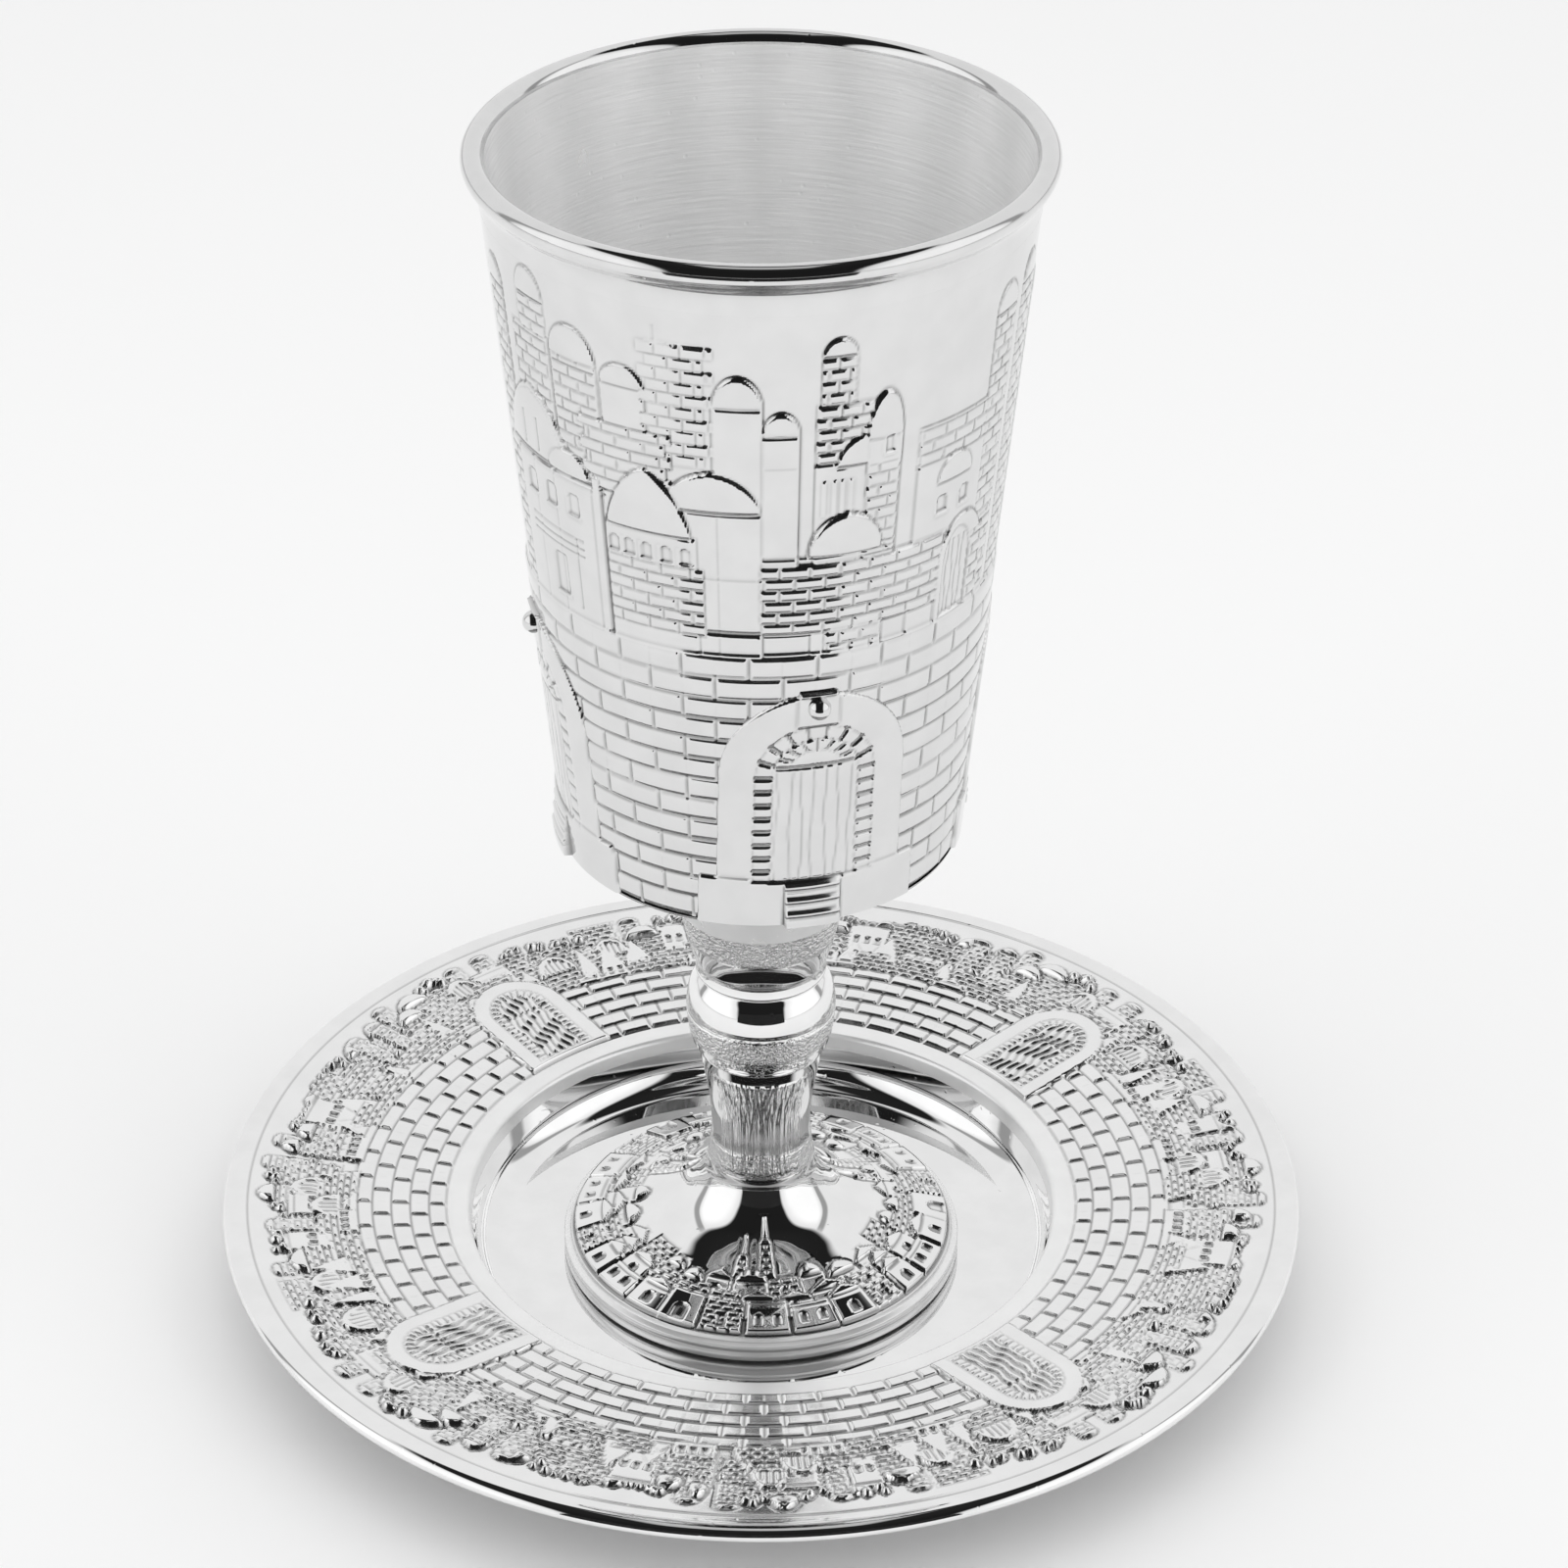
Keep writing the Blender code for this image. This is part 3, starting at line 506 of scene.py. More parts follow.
stone_length = 5 * 2.3
rim["h"] = rim_stones(rim, 5, 2.3, 60, 0.27)
rim_town(rim, stone_length - 0.4, rim_length - 1.7, 11)
small_gate(rim)
bed_line(rim, -46.0, 46.0, rim_length - 0.75, 0.10, 0.36)
rim["h"] *= soft_step(rim["up"] - 0.35, 0.5)[:, None]
rim["h"] *= soft_step(rim_length - 0.5 - rim["up"], 0.5)[:, None]
rim["h"] = np.tile(rim["h"], 4)
rim["turn"] = np.linspace(-45.0, 315.0, RIM_COLUMNS, endpoint=False) + 39.5
rim_line = RIM_FOOT + rim_along * rim_ups[:, None]
rim_points = strip_grid(rim, rim_line, np.tile(rim_out, (len(rim_ups), 1)))
# The saucer's creases get painted shade at 0.9 strength.
saucer_pieces = sheets("saucer_relief", rim_points[::-1], 2, saucer_satin, crease=0.9 * crease_of(rim)[::-1])

saucer_profile = [
    [(35.1, 6.0)], corner((31.3, 4.7), 3.5, -10.0, -90.0, 20), [(16.0, 1.2), (0.0, 1.2)]]
saucer_well = turned("saucer_well", saucer_profile, 256, saucer_polish)
edge_profile = [
    [(0.0, 0.0), (16.0, 0.0)], through([(32.8, 0.0), (33.6, 0.12), (34.6, 0.6), (35.4, 3.0), (36.4, 5.6), (37.6, 6.7)], 3), [(38.2, 6.9)],
    through([(62.9, 9.35), (64.3, 9.0), (64.85, 9.25), (64.98, 9.75), (64.7, 10.3), (64.1, 10.62), (63.4, 10.67), (62.8, 10.6)], 4)]
saucer_edge = turned("saucer_edge", edge_profile, 320, saucer_polish)
saucer_shoulder = turned("saucer_shoulder", [[(38.0, 8.1), (37.0, 8.02)], corner((36.0, 7.3), 0.65, 95.0, 172.0, 8), [(35.1, 6.0)]],
                         256, plate("saucer_shoulder_plate", 0.22, 0.0, 0.03, 0.05, 1.0, 0.6))
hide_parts("saucer")

# Foot: one casting, a polished bell over a ring of little houses, with a grooved band at its edge.
# It stands in the saucer's well by its own weight.
foot_polish = plate("foot_polished_plate", 0.0, 0.0, 0.02, 0.04)
foot_satin = plate("foot_satin_plate", 0.20, 0.0, 0.05, 0.05, 1.0, 0.6)
foot_relief_plate = plate("foot_relief_plate", 0.0, 0.0, 0.03, 0.04)
foot_line = through([(23.1, 4.3), (20.0, 5.29), (17.0, 6.25), (14.0, 7.2), (11.6, 8.15), (9.4, 9.5), (7.8, 11.3), (6.8, 13.2), (6.4, 14.65)], 12)
foot_run = np.concatenate(((0.0,), np.cumsum(np.hypot(*np.diff(foot_line, axis=0).T))))
ring_ups = np.linspace(0.0, foot_run[-1], 93)
ring_line = np.stack([np.interp(ring_ups, foot_run, column) for column in foot_line.T], -1)
ring_out = np.gradient(ring_line, axis=0)[:, ::-1] * (1.0, -1.0)
ring_out /= np.linalg.norm(ring_out, axis=1, keepdims=True)
RING_COLUMNS, ring_length = 660, 9.55
ring = new_relief(np.linspace(-60.0, 60.0, RING_COLUMNS // 3, endpoint=False), ring_ups, ring_line[:, 0])


def foot_town(relief, foot, length, seed):
    """The houses round the foot, seen from outside: a front row of walls with doors, windows and gables
    before a back row of domes and bricks, drawn over one third."""
    draw = np.random.default_rng(seed)
    for base, low, high, level, narrow, wide, kinds in (
            (0.46, 0.84, 1.02, 0.16, 10.0, 15.0, ("dome", "bricks", "dome", "gable")),
            (0.24, 0.58, 0.80, 0.34, 11.0, 15.0, ("bricks", "dome", "gable")),
            (0.02, 0.34, 0.52, 0.58, 11.0, 15.0, ("house", "bricks", "gable", "gate"))):
        at = -59.5
        while at < 55.0:
            left, right = at, min(at + draw.uniform(narrow, wide), 59.8)
            middle, span = (left + right) / 2, right - left
            bottom, peak = foot + base * length, foot + length * draw.uniform(low, high)
            kind = draw.choice(kinds)
            if kind == "dome":
                flat(relief, left, right, bottom, peak - 1.6, level)
                dome(relief, left + 0.4, right - 0.4, peak - 1.7, peak, level + 0.06, 0.15, 0.42)
            elif kind == "gable":
                flat(relief, left, right, bottom, peak - 1.0, level)
                recess(relief, middle, bottom + 0.8, 1.0, 1.5, 0.26, True, False)
                dome(relief, left - 0.4, right + 0.4, peak - 1.1, peak + 0.3, level + 0.10, 1.0, 0.05)
            elif kind == "house":
                flat(relief, left, right, bottom, peak, level)
                for turn in (left + 0.28 * span, left + 0.72 * span):
                    recess(relief, turn, bottom + 1.1, 0.9, 1.3, 0.26, True, False)
                bed_line(relief, left, right, peak - 0.5, 0.16, 0.36)
            elif kind == "gate":
                flat(relief, left, right, bottom, peak, level)
                recess(relief, middle, bottom + 0.4, 1.7, 2.2, 0.30, True, False)
            else:
                bricks(relief, left, right, bottom, peak, level, 0.72, 1.5, 0.24, 0.40)
                recess(relief, middle, bottom + 0.6, 1.1, 1.4, 0.22, False, False)
            at = right + draw.uniform(-0.6, 1.4)


foot_town(ring, 0.3, ring_length, 5)
for left, right, top in ((-1.0, 6.5, 16.4), (-13.0, -7.0, 14.2)):
    tower(ring, left, right, 8.6, top - 2.4, 0.8, 0.34, 0.9, 1.2, swell=0.2)
    dome(ring, left + 1.6, right - 1.6, top - 2.4, top, 0.30, 0.8, 0.2)
ring["h"] *= soft_step(ring["up"] - 0.2, 0.3)[:, None]
ring["h"] = np.tile(ring["h"], 3)
ring["turn"] = np.linspace(-60.0, 300.0, RING_COLUMNS, endpoint=False)
ring_points = strip_grid(ring, ring_line, ring_out)
# The foot's creases get painted shade at 1.6 strength, capped at full.
foot_pieces = sheets("foot_relief", ring_points, 1, foot_relief_plate, crease=np.minimum(1.6 * crease_of(ring), 1.0))
foot_top = turned("foot_top", [[(6.4, 14.65), (0.0, 14.65)]], 180, foot_polish)
band_profile = [
    [(0.0, 1.5), (12.0, 1.5), (23.6, 1.5)], corner((23.75, 1.75), 0.25, -80.0, 0.0, 4),
    [(24.0, 2.75), (23.93, 2.85), (24.0, 2.95)], corner((23.8, 3.4), 0.2, 0.0, 80.0, 4),
    [(23.3, 3.72), (23.2, 3.82), (23.16, 4.2), (23.1, 4.3)]]
band = turned("foot_band", band_profile, 240, foot_satin)
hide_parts("foot")

# Stem: one polished casting. From below: a collar, a waisted neck with a faint mould line, the round
# knop, a ring, and the small cup that the bowl sits on.
stem_polish = plate("stem_polished_plate", 0.0, 0.0, 0.03, 0.04)
# Painted light: the small cup's tint is raised 1.1 times.
stem_satin = plate("stem_satin_plate", 0.24, 0.0, 0.04, 0.04, 1.1, 0.35)
neck = through([(6.42, 14.95), (6.3, 15.6), (6.05, 17.6), (5.95, 19.7), (6.08, 22.8), (6.55, 25.9), (7.2, 29.3), (7.5, 30.9)], 6)
knop = through([(7.9, 31.5), (8.15, 32.1), (8.5, 33.3), (8.76, 35.2), (8.84, 37.2), (8.52, 39.2), (7.95, 40.5), (7.35, 41.4)], 6)
ring_part = through([(7.4, 41.5), (7.62, 41.65), (7.72, 41.9), (7.66, 42.3), (7.62, 43.3), (7.9, 43.9), (8.4, 45.5), (8.85, 47.2), (9.2, 48.7), (9.75, 51.1)], 5)
cup_part = through([(9.75, 51.1), (10.6, 55.2), (11.3, 59.0), (11.8, 61.8)], 6)


def vertices_of(piece):
    """The vertices of a piece in mm, one row each."""
    spots = np.empty(len(piece.data.vertices) * 3)
    piece.data.vertices.foreach_get("co", spots)
    return spots.reshape(-1, 3) * 1000.0


def cast_skin(piece, grainy, streaky):
    """Mark the bands of a turned piece that keep the skin of the casting, from height to height in mm.
    The streaks lie towards the front and the back, along the mould's seam."""
    spots = vertices_of(piece)
    height = spots[:, 2]
    finish_and_painted_shade = np.zeros((len(height), 3))
    for column, bands in ((1, grainy), (2, streaky)):
        for low, high, amount in bands:
            finish_and_painted_shade[:, column] += amount * soft_step(height - low, 0.5) * soft_step(high - height, 0.5)
    sideways = np.abs(spots[:, 0]) / np.hypot(spots[:, 0], spots[:, 1]).clip(1e-6)
    finish_and_painted_shade[:, 2] *= soft_step(0.72 - sideways, 0.3)
    mark(piece, finish_and_painted_shade)


stem = turned("stem_turned", [[(0.0, 14.95)], neck, knop, ring_part], 128, stem_polish)
cast_skin(stem, ((15.2, 17.9, 0.5), (33.2, 36.4, 0.9), (47.2, 51.4, 1.5)), ((15.6, 29.0, 1.0),))
stem_cup = turned("stem_cup", [cup_part, [(0.0, 61.8)]], 128, stem_satin)
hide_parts("stem")

# Bowl: one casting, a tapered beaker. Its outside carries the stone wall with four gates, and the old
# town above; a plain band, a flare and a beaded lip end it, and the inside is brushed in rings.
# Painted shade lowers the outside's tint to 0.84 and the lip's to 0.85; painted light raises the brushed inside's tint
# 1.11 times.
bowl_plate = plate("bowl_relief_plate", 0.04, 0.0, 0.05, 0.05, 0.84)
bowl_lip_plate = plate("bowl_lip_plate", 0.03, 0.0, 0.04, 0.05, 0.85)
bowl_inside_plate = plate("bowl_brushed_inside", 0.20, 0.26, 0.10, 0.08, 1.11, 0.5)


def bowl_radius(height):
    """The plain wall's radius: 22.45 mm at the underside, growing by 0.0965 of the height."""
    return 22.45 + 0.0965 * (height - 62.1)


WALL_LOW, WALL_TOP, TOWN_TOP = 62.55, 98.6, 140.6
COURSE = 2.754
wall_ups = np.linspace(WALL_LOW, WALL_TOP, 121)
turns = np.concatenate((np.linspace(-100.0, 100.0, 440, endpoint=False), np.linspace(100.0, 260.0, 240, endpoint=False)))
wall = new_relief(turns, wall_ups, bowl_radius(wall_ups))
up = wall["up"][:, None] + 0 * turns[None, :]
course_number = np.floor((98.5 - up) / COURSE)
beside = (turns[None, :] + 2.9) / (360.0 / 22) + 0.5 * np.mod(course_number, 2)
to_joint = np.abs(beside - np.round(beside)) * 360.0 / 22 * wall["scale"]
to_bed = np.abs((98.5 - up) / COURSE - np.round((98.5 - up) / COURSE)) * COURSE
uneven = np.mod(np.sin((np.floor(beside + 0.5) + 53.0 * course_number) * 12.9898) * 43758.5453, 1.0)
wall["h"] = 0.30 + 0.03 * uneven - 0.22 * np.exp(-((2.0 * np.minimum(to_joint, to_bed) / 0.44) ** 2))
GATE_TURN = 14.0
gate_across = (np.mod(turns - GATE_TURN + 45.0, 90.0) - 45.0)[None, :] * wall["scale"]
under_gate = np.minimum(9.6 - np.hypot(gate_across, np.maximum(up - 83.0, 0.0)), 99.0)
keep_wall = (under_gate < 0.0)
keep_wall = keep_wall[:-1] | keep_wall[1:]
keep_wall = keep_wall | np.roll(keep_wall, -1, 1)


def wall_points(relief):
    """Points of the bowl's outside: the plain wall's radius at a height plus the relief's height."""
    radius = bowl_radius(relief["up"])[:, None] + relief["h"]
    turn = np.radians(relief["turn"])[None, :]
    return np.stack((radius * np.sin(turn), -radius * np.cos(turn), relief["up"][:, None] + 0 * radius), axis=-1)


stone_wall = sheets("bowl_stones", wall_points(wall), 1, bowl_plate, keep=keep_wall, crease=crease_of(wall))

gate_ups = np.linspace(WALL_LOW, 94.6, 139)
gate_turns = np.linspace(-32.5, 32.5, 117)
gate = new_relief(gate_turns, gate_ups, bowl_radius(gate_ups))
index, across, up, half = window(gate, -40.0, 40.0, 60.0, 96.0)
above = np.maximum(up - 83.0, 0.0)
panel = 10.6 - np.hypot(across, above)
plinth = np.minimum(12.6 - np.abs(across), 69.0 - up)
gate["h"][:] = 0.02
lay(gate, index, panel, 0.58, 0.3)
lay(gate, index, plinth, 0.68, 0.3)
arch = np.hypot(across, np.maximum(up - 82.6, 0.0))
ring_inside = np.minimum(6.75 - arch, up - 68.6)
lay(gate, index, ring_inside, 0.46, 0.22)
angle = np.arctan2(across, np.maximum(up - 82.6, 1e-6))
beside = np.where(up > 82.6, (angle / np.pi * 9.0) + 0.5, (82.6 - up) / 1.83)
gap = np.where(up > 82.6, 2.0, 1.83)
to_joint = np.abs(beside - np.round(beside)) * gap
gate["h"] -= 0.26 * np.exp(-((2.0 * to_joint / 0.42) ** 2)) * soft_step(ring_inside, 0.3)
lay(gate, index, np.minimum(4.75 - arch, up - 68.6), 0.40, 0.22)
planks = 0.42 + 0.0 * across
for at in (-4.3, -2.7, -1.5, -0.35, 1.15, 2.5, 3.9):
    bend = 0.16 * np.sin(up * 0.42 + at * 3.0) + 0.05 * np.sin(up * 1.1 + at)
    planks -= 0.08 * np.exp(-((2.0 * (across - at - bend) / 0.36) ** 2))
lay(gate, index, np.minimum(4.55 - np.abs(across), np.minimum(up - 68.7, 84.0 - up)), planks, 0.22)
inner = np.hypot(across, np.maximum(up - 84.0, 0.0) * 1.25)
band_stones = np.minimum(4.4 - inner, up - 84.0)
lay(gate, index, band_stones, 0.52, 0.22)
beside = np.arctan2(across, np.maximum((up - 84.0) * 1.25, 1e-6)) / np.pi * 8.0
gate["h"] -= 0.18 * np.exp(-((2.0 * np.abs(beside - np.round(beside)) * 1.3 / 0.36) ** 2)) * soft_step(band_stones, 0.2)
lunette = np.minimum(2.75 - inner, up - 84.1)
lay(gate, index, lunette, 0.40 + 0.12 * np.sqrt(np.clip(lunette / 2.7, 0.0, 1.0)), 0.26)
cut(gate, index, np.where(np.abs(across) < 4.5, np.abs(up - 84.0), 9.0), 0.12, 0.34)
keystone = np.minimum(2.2 - np.abs(across), np.minimum(up - 89.4, 93.8 - up))
lay(gate, index, keystone, 0.70 + 0.12 * soft_step(up - 93.35, 0.3), 0.24)
step_rise = (68.5 - 63.3) / 3
tread = np.clip((68.5 - up) / step_rise, 0.0, 2.999)
step_face = 0.60 + 0.30 * np.floor(tread) + 0.30 * soft_step(np.mod(tread, 1.0) - 0.28, 0.4) - 0.14 * np.exp(-(((np.mod(tread, 1.0) - 0.72) / 0.12) ** 2))
lay(gate, index, np.minimum(3.0 - np.abs(across), np.minimum(68.5 - up, up - 62.0)), step_face, 0.2)
border = np.maximum(panel, plinth)
keep_gate = (border > -0.5)
keep_gate = keep_gate[:-1, :-1] | keep_gate[1:, 1:]
gate_pieces = []
for number in range(4):
    gate["turn"] = gate_turns + GATE_TURN + 90.0 * number
    gate_pieces += sheets(f"bowl_gate_{number + 1}", wall_points(gate), 1, bowl_plate, closed=False, keep=keep_gate, crease=crease_of(gate, closed=False))

# The town above the wall, from back to front. The front follows the cup; the back goes on in keeping.
town_ups = np.linspace(WALL_TOP, TOWN_TOP, 185)
town = new_relief(turns, town_ups, bowl_radius(town_ups))
FAR, MID, NEAR = 0.16, 0.27, 0.39
tower(town, -76.0, -67.5, 98.0, 138.0, 3.0, FAR, 1.42, 2.6)
tower(town, -59.5, -50.0, 118.0, 140.2, 3.4, FAR, 1.42, 2.4)
bricks(town, -63.0, -50.0, 118.0, 132.6, FAR, 1.42, 2.4)
tower(town, -49.0, -36.0, 118.0, 135.7, 4.2, FAR, 0.0, cap=True)
bricks(town, -48.6, -36.4, 118.0, 131.5, FAR, 1.42, 2.6)
tower(town, -35.0, -24.7, 118.0, 133.0, 2.6, FAR, 0.0)
plumb_line(town, -22.0, 133.0, 138.6, 0.06, 0.3)
bricks(town, -24.7, -11.0, 122.0, 136.7, 0.12, 1.46, 2.7, 0.11, 0.34, 1.1, 0.0)
bricks(town, -41.0, -20.0, 117.0, 125.4, MID, 1.46, 3.4, 0.16, ragged=0.8)
tower(town, -10.0, 0.2, 98.0, 133.3, 3.7, MID, 0.0)
flat(town, -18.0, -9.8, 98.0, 117.0, MID)
bed_line(town, -13.0, 0.2, 108.5, 0.08)
bed_line(town, -12.5, 14.0, 101.6, 0.22, 0.5)
dome(town, -21.5, -0.2, 116.8, 121.5, MID + 0.04, 0.15)
tower(town, 0.3, 8.0, 109.0, 129.0, 2.7, MID, 0.0)
bed_line(town, 0.6, 7.7, 122.4, 0.05)
tower(town, 12.5, 19.5, 116.0, 137.5, 2.2, FAR, 1.4, 2.2)
bricks(town, 11.7, 24.0, 122.5, 129.6, FAR + 0.04, 1.4, 2.4, 0.2)
flat(town, 11.7, 23.0, 98.0, 122.5, FAR)
for at in (13.5, 15.8, 17.5, 19.5):
    plumb_line(town, at, 116.0, 120.5, -0.12, 0.4)
dome(town, 16.3, 28.0, 122.0, 125.4, MID, swell=0.12)
tower(town, 22.8, 31.0, 109.0, 130.3, 5.5, MID + 0.03, 0.0, swell=0.14)
bricks(town, 23.0, 30.8, 109.0, 121.5, MID + 0.03, 1.43, 2.5)
recess(town, 28.0, 122.8, 1.1, 1.5, 0.2, False)
bricks(town, 36.0, 66.0, 119.6, 124.3, FAR, 1.43, 3.2)
flat(town, 36.0, 66.0, 98.0, 119.6, FAR)
tower(town, 57.5, 66.0, 98.0, 137.0, 3.2, FAR, 1.42, 2.4)
tower(town, 70.0, 78.0, 98.0, 138.0, 3.0, FAR, 1.42, 2.4)
dome(town, 42.0, 53.0, 116.6, 119.8, MID)
for at in (44.0, 51.5):
    recess(town, at, 112.8, 1.5, 1.5, 0.26, False)
for at in (-62.0, -54.0, -46.0):
    flat(town, at - 6.0, at + 8.0, 98.0, 116.5, MID)
dome(town, -71.0, -46.0, 116.8, 125.6, MID, 0.25)
dome(town, -69.6, -47.4, 117.4, 124.9, MID + 0.05, 0.25)
for at in (-62.0, -56.5):
    plumb_line(town, at, 118.0, 122.0, 0.14)
dome(town, -53.0, -40.0, 117.0, 120.0, NEAR)
bed_line(town, -70.0, -36.0, 116.8, 0.16)
bed_line(town, -70.0, -36.0, 116.1, 0.12)
for at in (-62.0, -54.0, -46.0):
    recess(town, at, 112.0, 1.7, 2.0, 0.16, False)
for at in (109.0, 108.0, 107.0):
    bed_line(town, -64.0, -44.0, at, 0.12)
plumb_line(town, -46.5, 100.0, 109.0)
recess(town, -53.0, 101.0, 2.0, 4.5, 0.14, False)
flat(town, -39.5, -37.5, 98.5, 118.0, NEAR)
flat(town, -36.5, -14.5, 98.0, 113.2, NEAR)
dome(town, -36.0, -15.5, 113.2, 120.9, NEAR, 0.45, 0.22)
bricks(town, -36.5, -13.0, 101.0, 109.3, NEAR, 1.45, 3.3)
for at in (-34.3, -30.4, -26.0, -21.3, -16.8):
    recess(town, at, 109.9, 1.3, 2.0, 0.16)
bricks(town, 0.0, 46.0, 101.5, 110.2, NEAR - 0.04, 1.43, 3.25, 0.2)
bricks(town, 15.0, 29.0, 98.4, 101.6, NEAR - 0.04, 1.43, 2.4)
dome(town, 10.5, 27.3, 111.2, 116.2, NEAR + 0.06, 0.0, 0.34)
bed_line(town, 0.0, 31.0, 111.2, 0.14)
plumb_line(town, 30.8, 110.0, 121.0)
tower(town, 44.6, 60.4, 98.0, 111.3, 5.6, NEAR, cap=False, swell=0.0)
tower(town, 46.3, 56.0, 99.3, 109.9, 4.2, FAR, cap=False, swell=0.0)
for at in (48.0, 49.8, 51.6, 53.4):
    plumb_line(town, at, 99.3, 108.5, 0.12, 0.34, 0.15)
bricks(town, 56.2, 61.5, 99.5, 108.0, NEAR, 1.3, 2.6)
bed_line(town, 60.0, 66.0, 109.0, 0.14)

draw = np.random.default_rng(3)
for left in np.arange(84.0, 236.0, 24.0):
    tower(town, left, left + draw.uniform(8.0, 11.0), 98.0, draw.uniform(131.0, 140.0), 3.2, FAR, 1.42, 2.5)
    left, right = left + 9.0, left + 23.0
    if draw.random() < 0.5:
        bricks(town, left, right, 98.0, 113.0, MID, 1.43, 3.2)
        dome(town, left + 0.5, right - 0.5, 113.0, draw.uniform(118.0, 122.0), MID + 0.05, draw.choice((0.0, 0.5)), 0.22)
        for at in np.arange(left + 2.5, right - 1.5, 4.0):
            recess(town, at, 107.5, 1.3, 2.0, 0.16)
    else:
        flat(town, left, right, 98.0, draw.uniform(114.0, 122.0), MID)
        tower(town, left + 1.0, left + 7.0, 104.0, draw.uniform(124.0, 130.0), 2.4, MID + 0.05)
        bricks(town, left, right, 98.4, 106.0, NEAR, 1.43, 3.2)
        recess(town, left + 4.0, 109.5, 1.5, 2.0, 0.16, False)
        recess(town, left + 10.0, 109.5, 1.5, 2.0, 0.16, False)

town["h"] += 0.12 * soft_step(98.95 - town["up"], 0.4)[:, None]
town["h"] *= soft_step(TOWN_TOP - 0.1 - town["up"], 0.3)[:, None]
town_pieces = sheets("bowl_town", wall_points(town), 2, bowl_plate, crease=crease_of(town))

lip_profile = [
    [(bowl_radius(140.6), 140.6)],
    through([(30.08, 141.3), (30.24, 142.4), (30.58, 143.3), (31.05, 143.95), (31.45, 144.35)], 6),
    corner((30.62, 145.43), 1.27, -45.0, 180.0, 24)]
bowl_lip = turned("bowl_lip", lip_profile, 240, bowl_lip_plate)
inside_profile = [[(29.35, 145.43), (29.3, 144.9), (29.24, 144.3), (29.22, 143.7), (29.1, 142.4)], [(bowl_radius(z) - 1.1, z) for z in np.linspace(140.0, 67.7, 10)]]
fillet_middle = (bowl_radius(67.7) - 1.1 - 4.0, 67.7)
inside_profile += [corner(fillet_middle, 4.0, -2.0, -90.0, 16), [(9.0, 63.7), (0.0, 63.7)]]
bowl_inside = turned("bowl_inside", inside_profile, 200, bowl_inside_plate)
# Painted shade inside the bowl: upright bands 24.4 degrees apart are slightly darkened and made rougher through the
# crease channel, leaving lighter bands between them as a painted reflection; strongest above 137 mm, a tenth of that
# below 107 mm.
inside_spots = vertices_of(bowl_inside)
from_back = np.degrees(np.abs(np.arctan2(inside_spots[:, 0], inside_spots[:, 1])))
painted_shade_bands = 0.5 - 0.5 * np.cos(np.radians((from_back - 8.0) * 360.0 / 24.4))
painted_shade_bands *= 0.10 + 0.90 * soft_step(inside_spots[:, 2] - 122.0, 30.0)
mark(bowl_inside, painted_shade_bands[:, None] * (0.14, 0.0, 0.0))
under_profile = [[(0.0, 62.1), (12.0, 62.1)], corner((bowl_radius(62.55) - 0.15, 62.55), 0.45, -90.0, 0.0, 8)]
bowl_underside = turned("bowl_underside", under_profile, 200, bowl_plate)

bead_turn, bead_rise = np.meshgrid(np.linspace(0.0, 2 * np.pi, 33), np.linspace(-np.pi / 2, np.pi / 2, 17))
beads = []
for number in range(4):
    turn = np.radians(GATE_TURN + 90.0 * number)
    reach = bowl_radius(92.0) + 0.62
    bead = np.stack((
        reach * np.sin(turn) + 1.3 * np.cos(bead_rise) * np.sin(bead_turn),
        -reach * np.cos(turn) - 1.3 * np.cos(bead_rise) * np.cos(bead_turn),
        91.8 + 1.3 * np.sin(bead_rise)), -1)
    beads += sheets(f"bowl_bead_{number + 1}", bead, 1, bowl_lip_plate, closed=False)

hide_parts("bowl")

# Setting: a pale floor, a light tent with a dark gap where the camera stands, and the camera itself.
floor_paint = bpy.data.materials.new("pale_floor")
floor_paint.use_nodes = True
floor_paint.node_tree.nodes["Principled BSDF"].inputs["Base Color"].default_value = (0.93, 0.93, 0.93, 1.0)
floor_paint.node_tree.nodes["Principled BSDF"].inputs["Roughness"].default_value = 0.9
floor_mesh = bpy.data.meshes.new("floor")
floor_mesh.from_pydata([(-6, -6, -0.0002), (6, -6, -0.0002), (6, 6, -0.0002), (-6, 6, -0.0002)], [], [(0, 1, 2, 3)])
floor_mesh.materials.append(floor_paint)
floor = bpy.data.objects.new("floor", floor_mesh)
bpy.context.scene.collection.objects.link(floor)

flag_paint = bpy.data.materials.new("black_flag")
flag_paint.use_nodes = True
flag_paint.node_tree.nodes["Principled BSDF"].inputs["Base Color"].default_value = (0.01, 0.01, 0.01, 1.0)
flag_paint.node_tree.nodes["Principled BSDF"].inputs["Roughness"].default_value = 1.0
flag_mesh = bpy.data.meshes.new("front_flag")
flag_mesh.from_pydata([(-0.19, -0.28, 0.0), (0.19, -0.28, 0.0), (0.19, -0.28, 0.14), (-0.19, -0.28, 0.14)], [], [(0, 1, 2, 3)])
flag_mesh.materials.append(flag_paint)
flag = bpy.data.objects.new("front_flag", flag_mesh)
flag.visible_camera = flag.visible_diffuse = flag.visible_shadow = flag.visible_transmission = False
bpy.context.scene.collection.objects.link(flag)

for name, energy, place, tilt in (
        ("overhead_softbox", 12.0, (0.0, 0.0, 1.2), 0.0), ("front_softbox", 9.0, (0.0, -0.9, 0.9), 45.0)):
    light = bpy.data.lights.new(name, "AREA")
    light.size = 2.4
    light.energy = energy
    lamp = bpy.data.objects.new(name, light)
    lamp.location = place
    lamp.rotation_euler = (np.radians(tilt), 0.0, 0.0)
    lamp.visible_glossy = False
    bpy.context.scene.collection.objects.link(lamp)

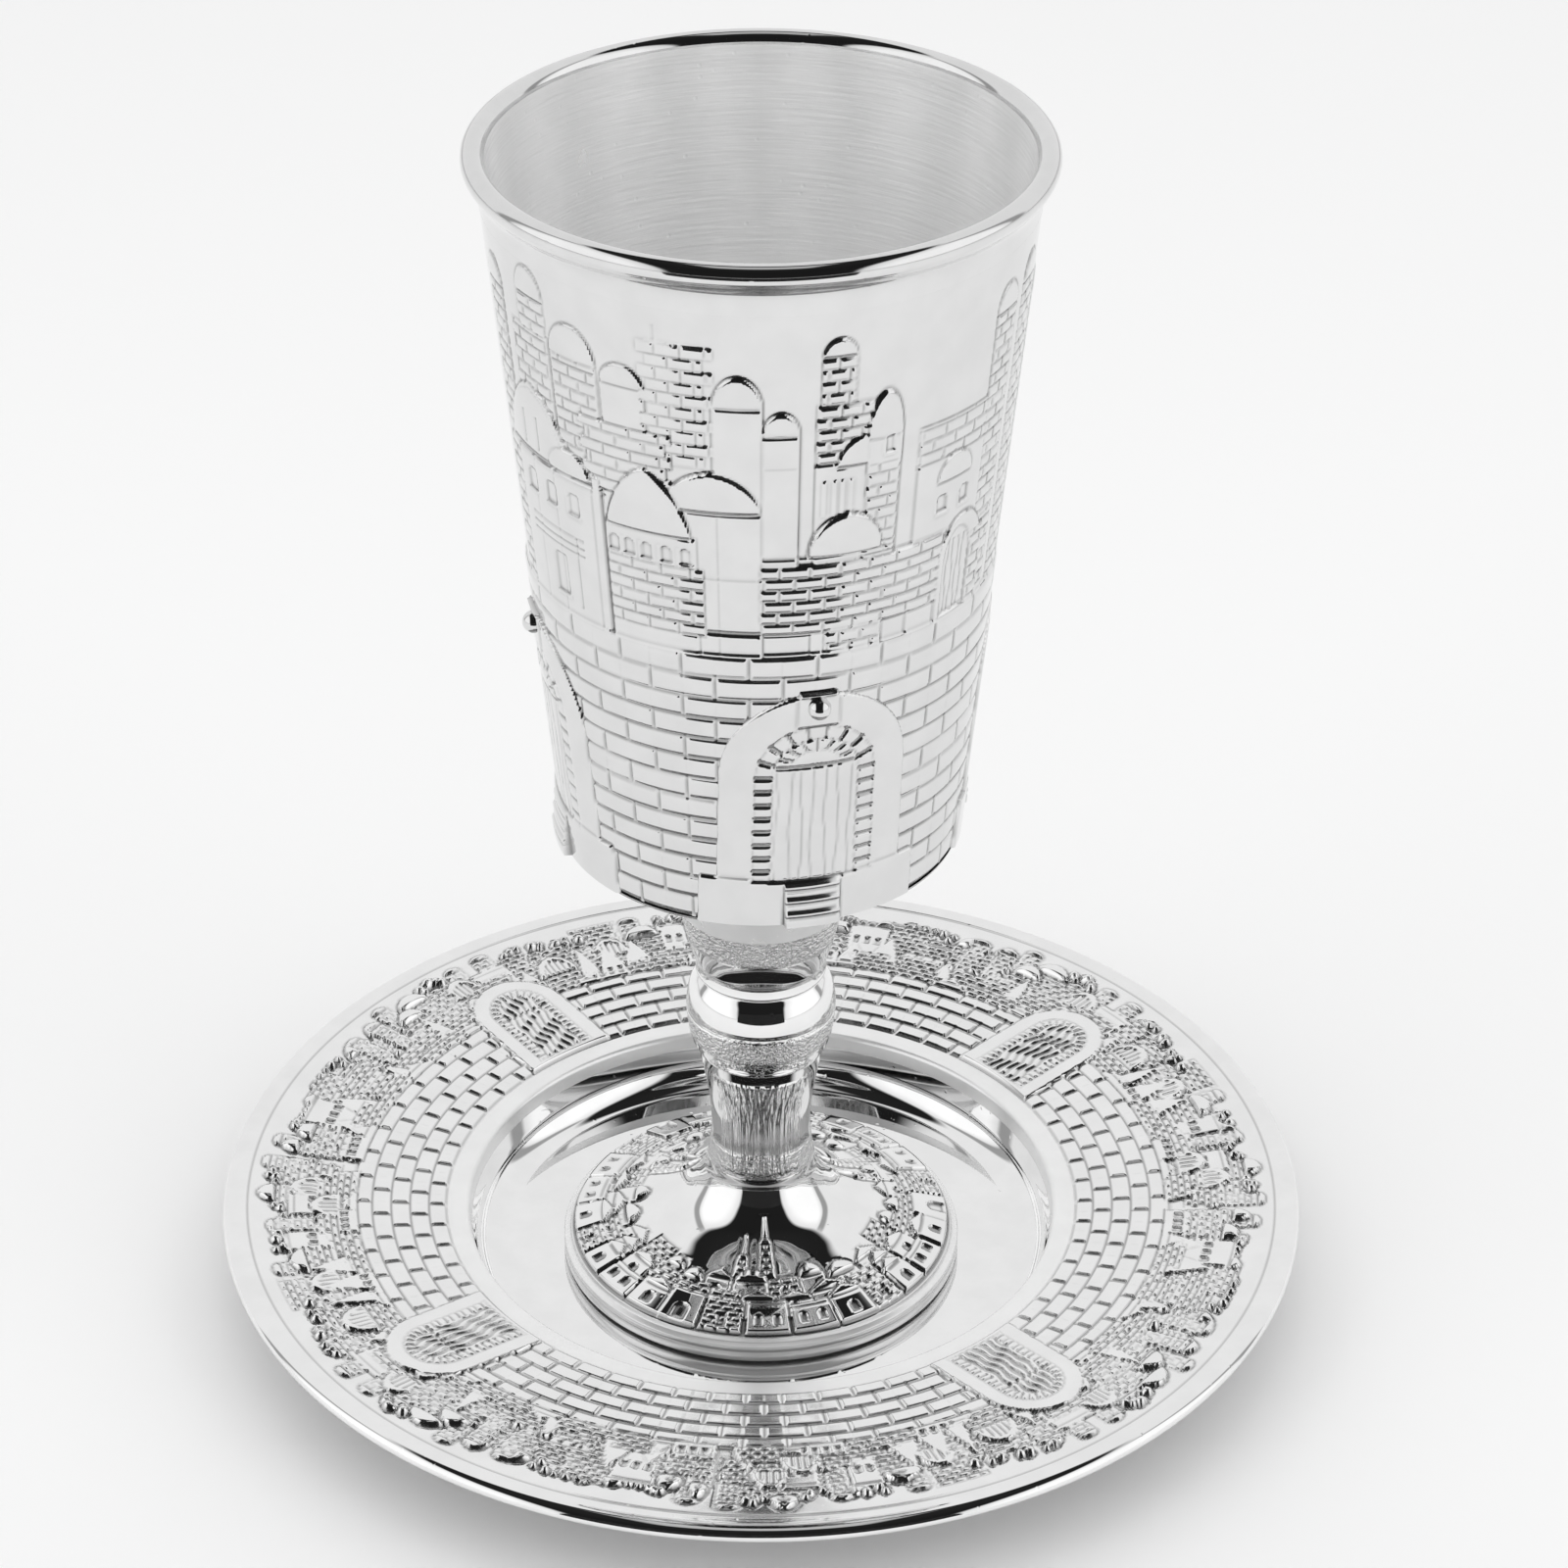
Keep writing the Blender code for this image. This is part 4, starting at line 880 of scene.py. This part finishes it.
world = bpy.data.worlds.new("light_tent")
bpy.context.scene.world = world
world.use_nodes = True
tree = world.node_tree
direction = tree.nodes.new("ShaderNodeTexCoord").outputs["Generated"]
split = tree.nodes.new("ShaderNodeSeparateXYZ")
tree.links.new(direction, split.inputs[0])


def tent(operation, a, b=None, c=None):
    """A math node on up to three values, each a socket or a number."""
    node = tree.nodes.new("ShaderNodeMath")
    node.operation = operation
    for socket, value in zip(node.inputs, (a, b, c)):
        if isinstance(value, (int, float)):
            socket.default_value = value
        elif value is not None:
            tree.links.new(value, socket)
    return node.outputs[0]


def fade(value, start, end):
    """A smooth rise from 0 at start to 1 at end."""
    node = tree.nodes.new("ShaderNodeMapRange")
    node.interpolation_type = "SMOOTHSTEP"
    node.inputs["From Min"].default_value = start
    node.inputs["From Max"].default_value = end
    tree.links.new(value, node.inputs["Value"])
    return node.outputs["Result"]


sideways = tent("MULTIPLY", tent("ARCTAN2", split.outputs["X"], tent("MULTIPLY", split.outputs["Y"], -1.0)), 57.2958)
azimuth = tent("ABSOLUTE", sideways)
elevation = tent("MULTIPLY", tent("ARCSINE", split.outputs["Z"]), 57.2958)
over = tent("MULTIPLY", tent("ARCTAN2", split.outputs["Z"], tent("MULTIPLY", split.outputs["Y"], -1.0)), 57.2958)
aside = tent("ABSOLUTE", split.outputs["X"])
behind = tent("MULTIPLY", tent("MAXIMUM", split.outputs["Y"], 0.0), 1.15)
outside = tent("SUBTRACT", tent("SQRT", tent("ADD", tent("MULTIPLY", aside, aside), tent("MULTIPLY", behind, behind))), 0.57)
gap = tent("MULTIPLY", fade(outside, 0.035, -0.035), fade(over, -3.0, 3.0))
skylight = tent("MULTIPLY", fade(aside, 0.20, 0.14), tent("MULTIPLY", fade(split.outputs["Y"], -0.14, -0.04), fade(split.outputs["Y"], 0.36, 0.28)))
side_box = tent("MULTIPLY", fade(outside, 0.0, 0.2), fade(azimuth, 104.0, 96.0))
bright = tent("ADD", tent("MULTIPLY", side_box, 0.24), tent("MULTIPLY_ADD", fade(elevation, 55.0, 72.0), 0.25, 0.87))
seam = tent("MULTIPLY", tent("MULTIPLY", fade(azimuth, 102.0, 105.0), fade(azimuth, 114.0, 110.0)), fade(elevation, 60.0, 50.0))
dark = tent("MAXIMUM", tent("MULTIPLY", gap, tent("MULTIPLY_ADD", skylight, -0.45, 1.0)), tent("MULTIPLY", seam, 0.6))
bright = tent("MULTIPLY", bright, tent("SUBTRACT", 1.0, tent("MULTIPLY", dark, 0.985)))
tree.links.new(bright, tree.nodes["Background"].inputs["Strength"])
tree.nodes["Background"].inputs["Color"].default_value = (1.0, 1.0, 1.0, 1.0)

camera_data = bpy.data.cameras.new("camera")
camera_data.sensor_width = 36.0
camera_data.lens = 105.54
camera_data.shift_x = 0.01466
camera = bpy.data.objects.new("camera", camera_data)
camera.location = (0.0, -0.44950, 0.34382)
camera.rotation_euler = (np.radians(90.0 - 31.65), 0.0, 0.0)
bpy.context.scene.collection.objects.link(camera)
bpy.context.scene.camera = camera
bpy.context.scene.view_settings.view_transform = "Standard"
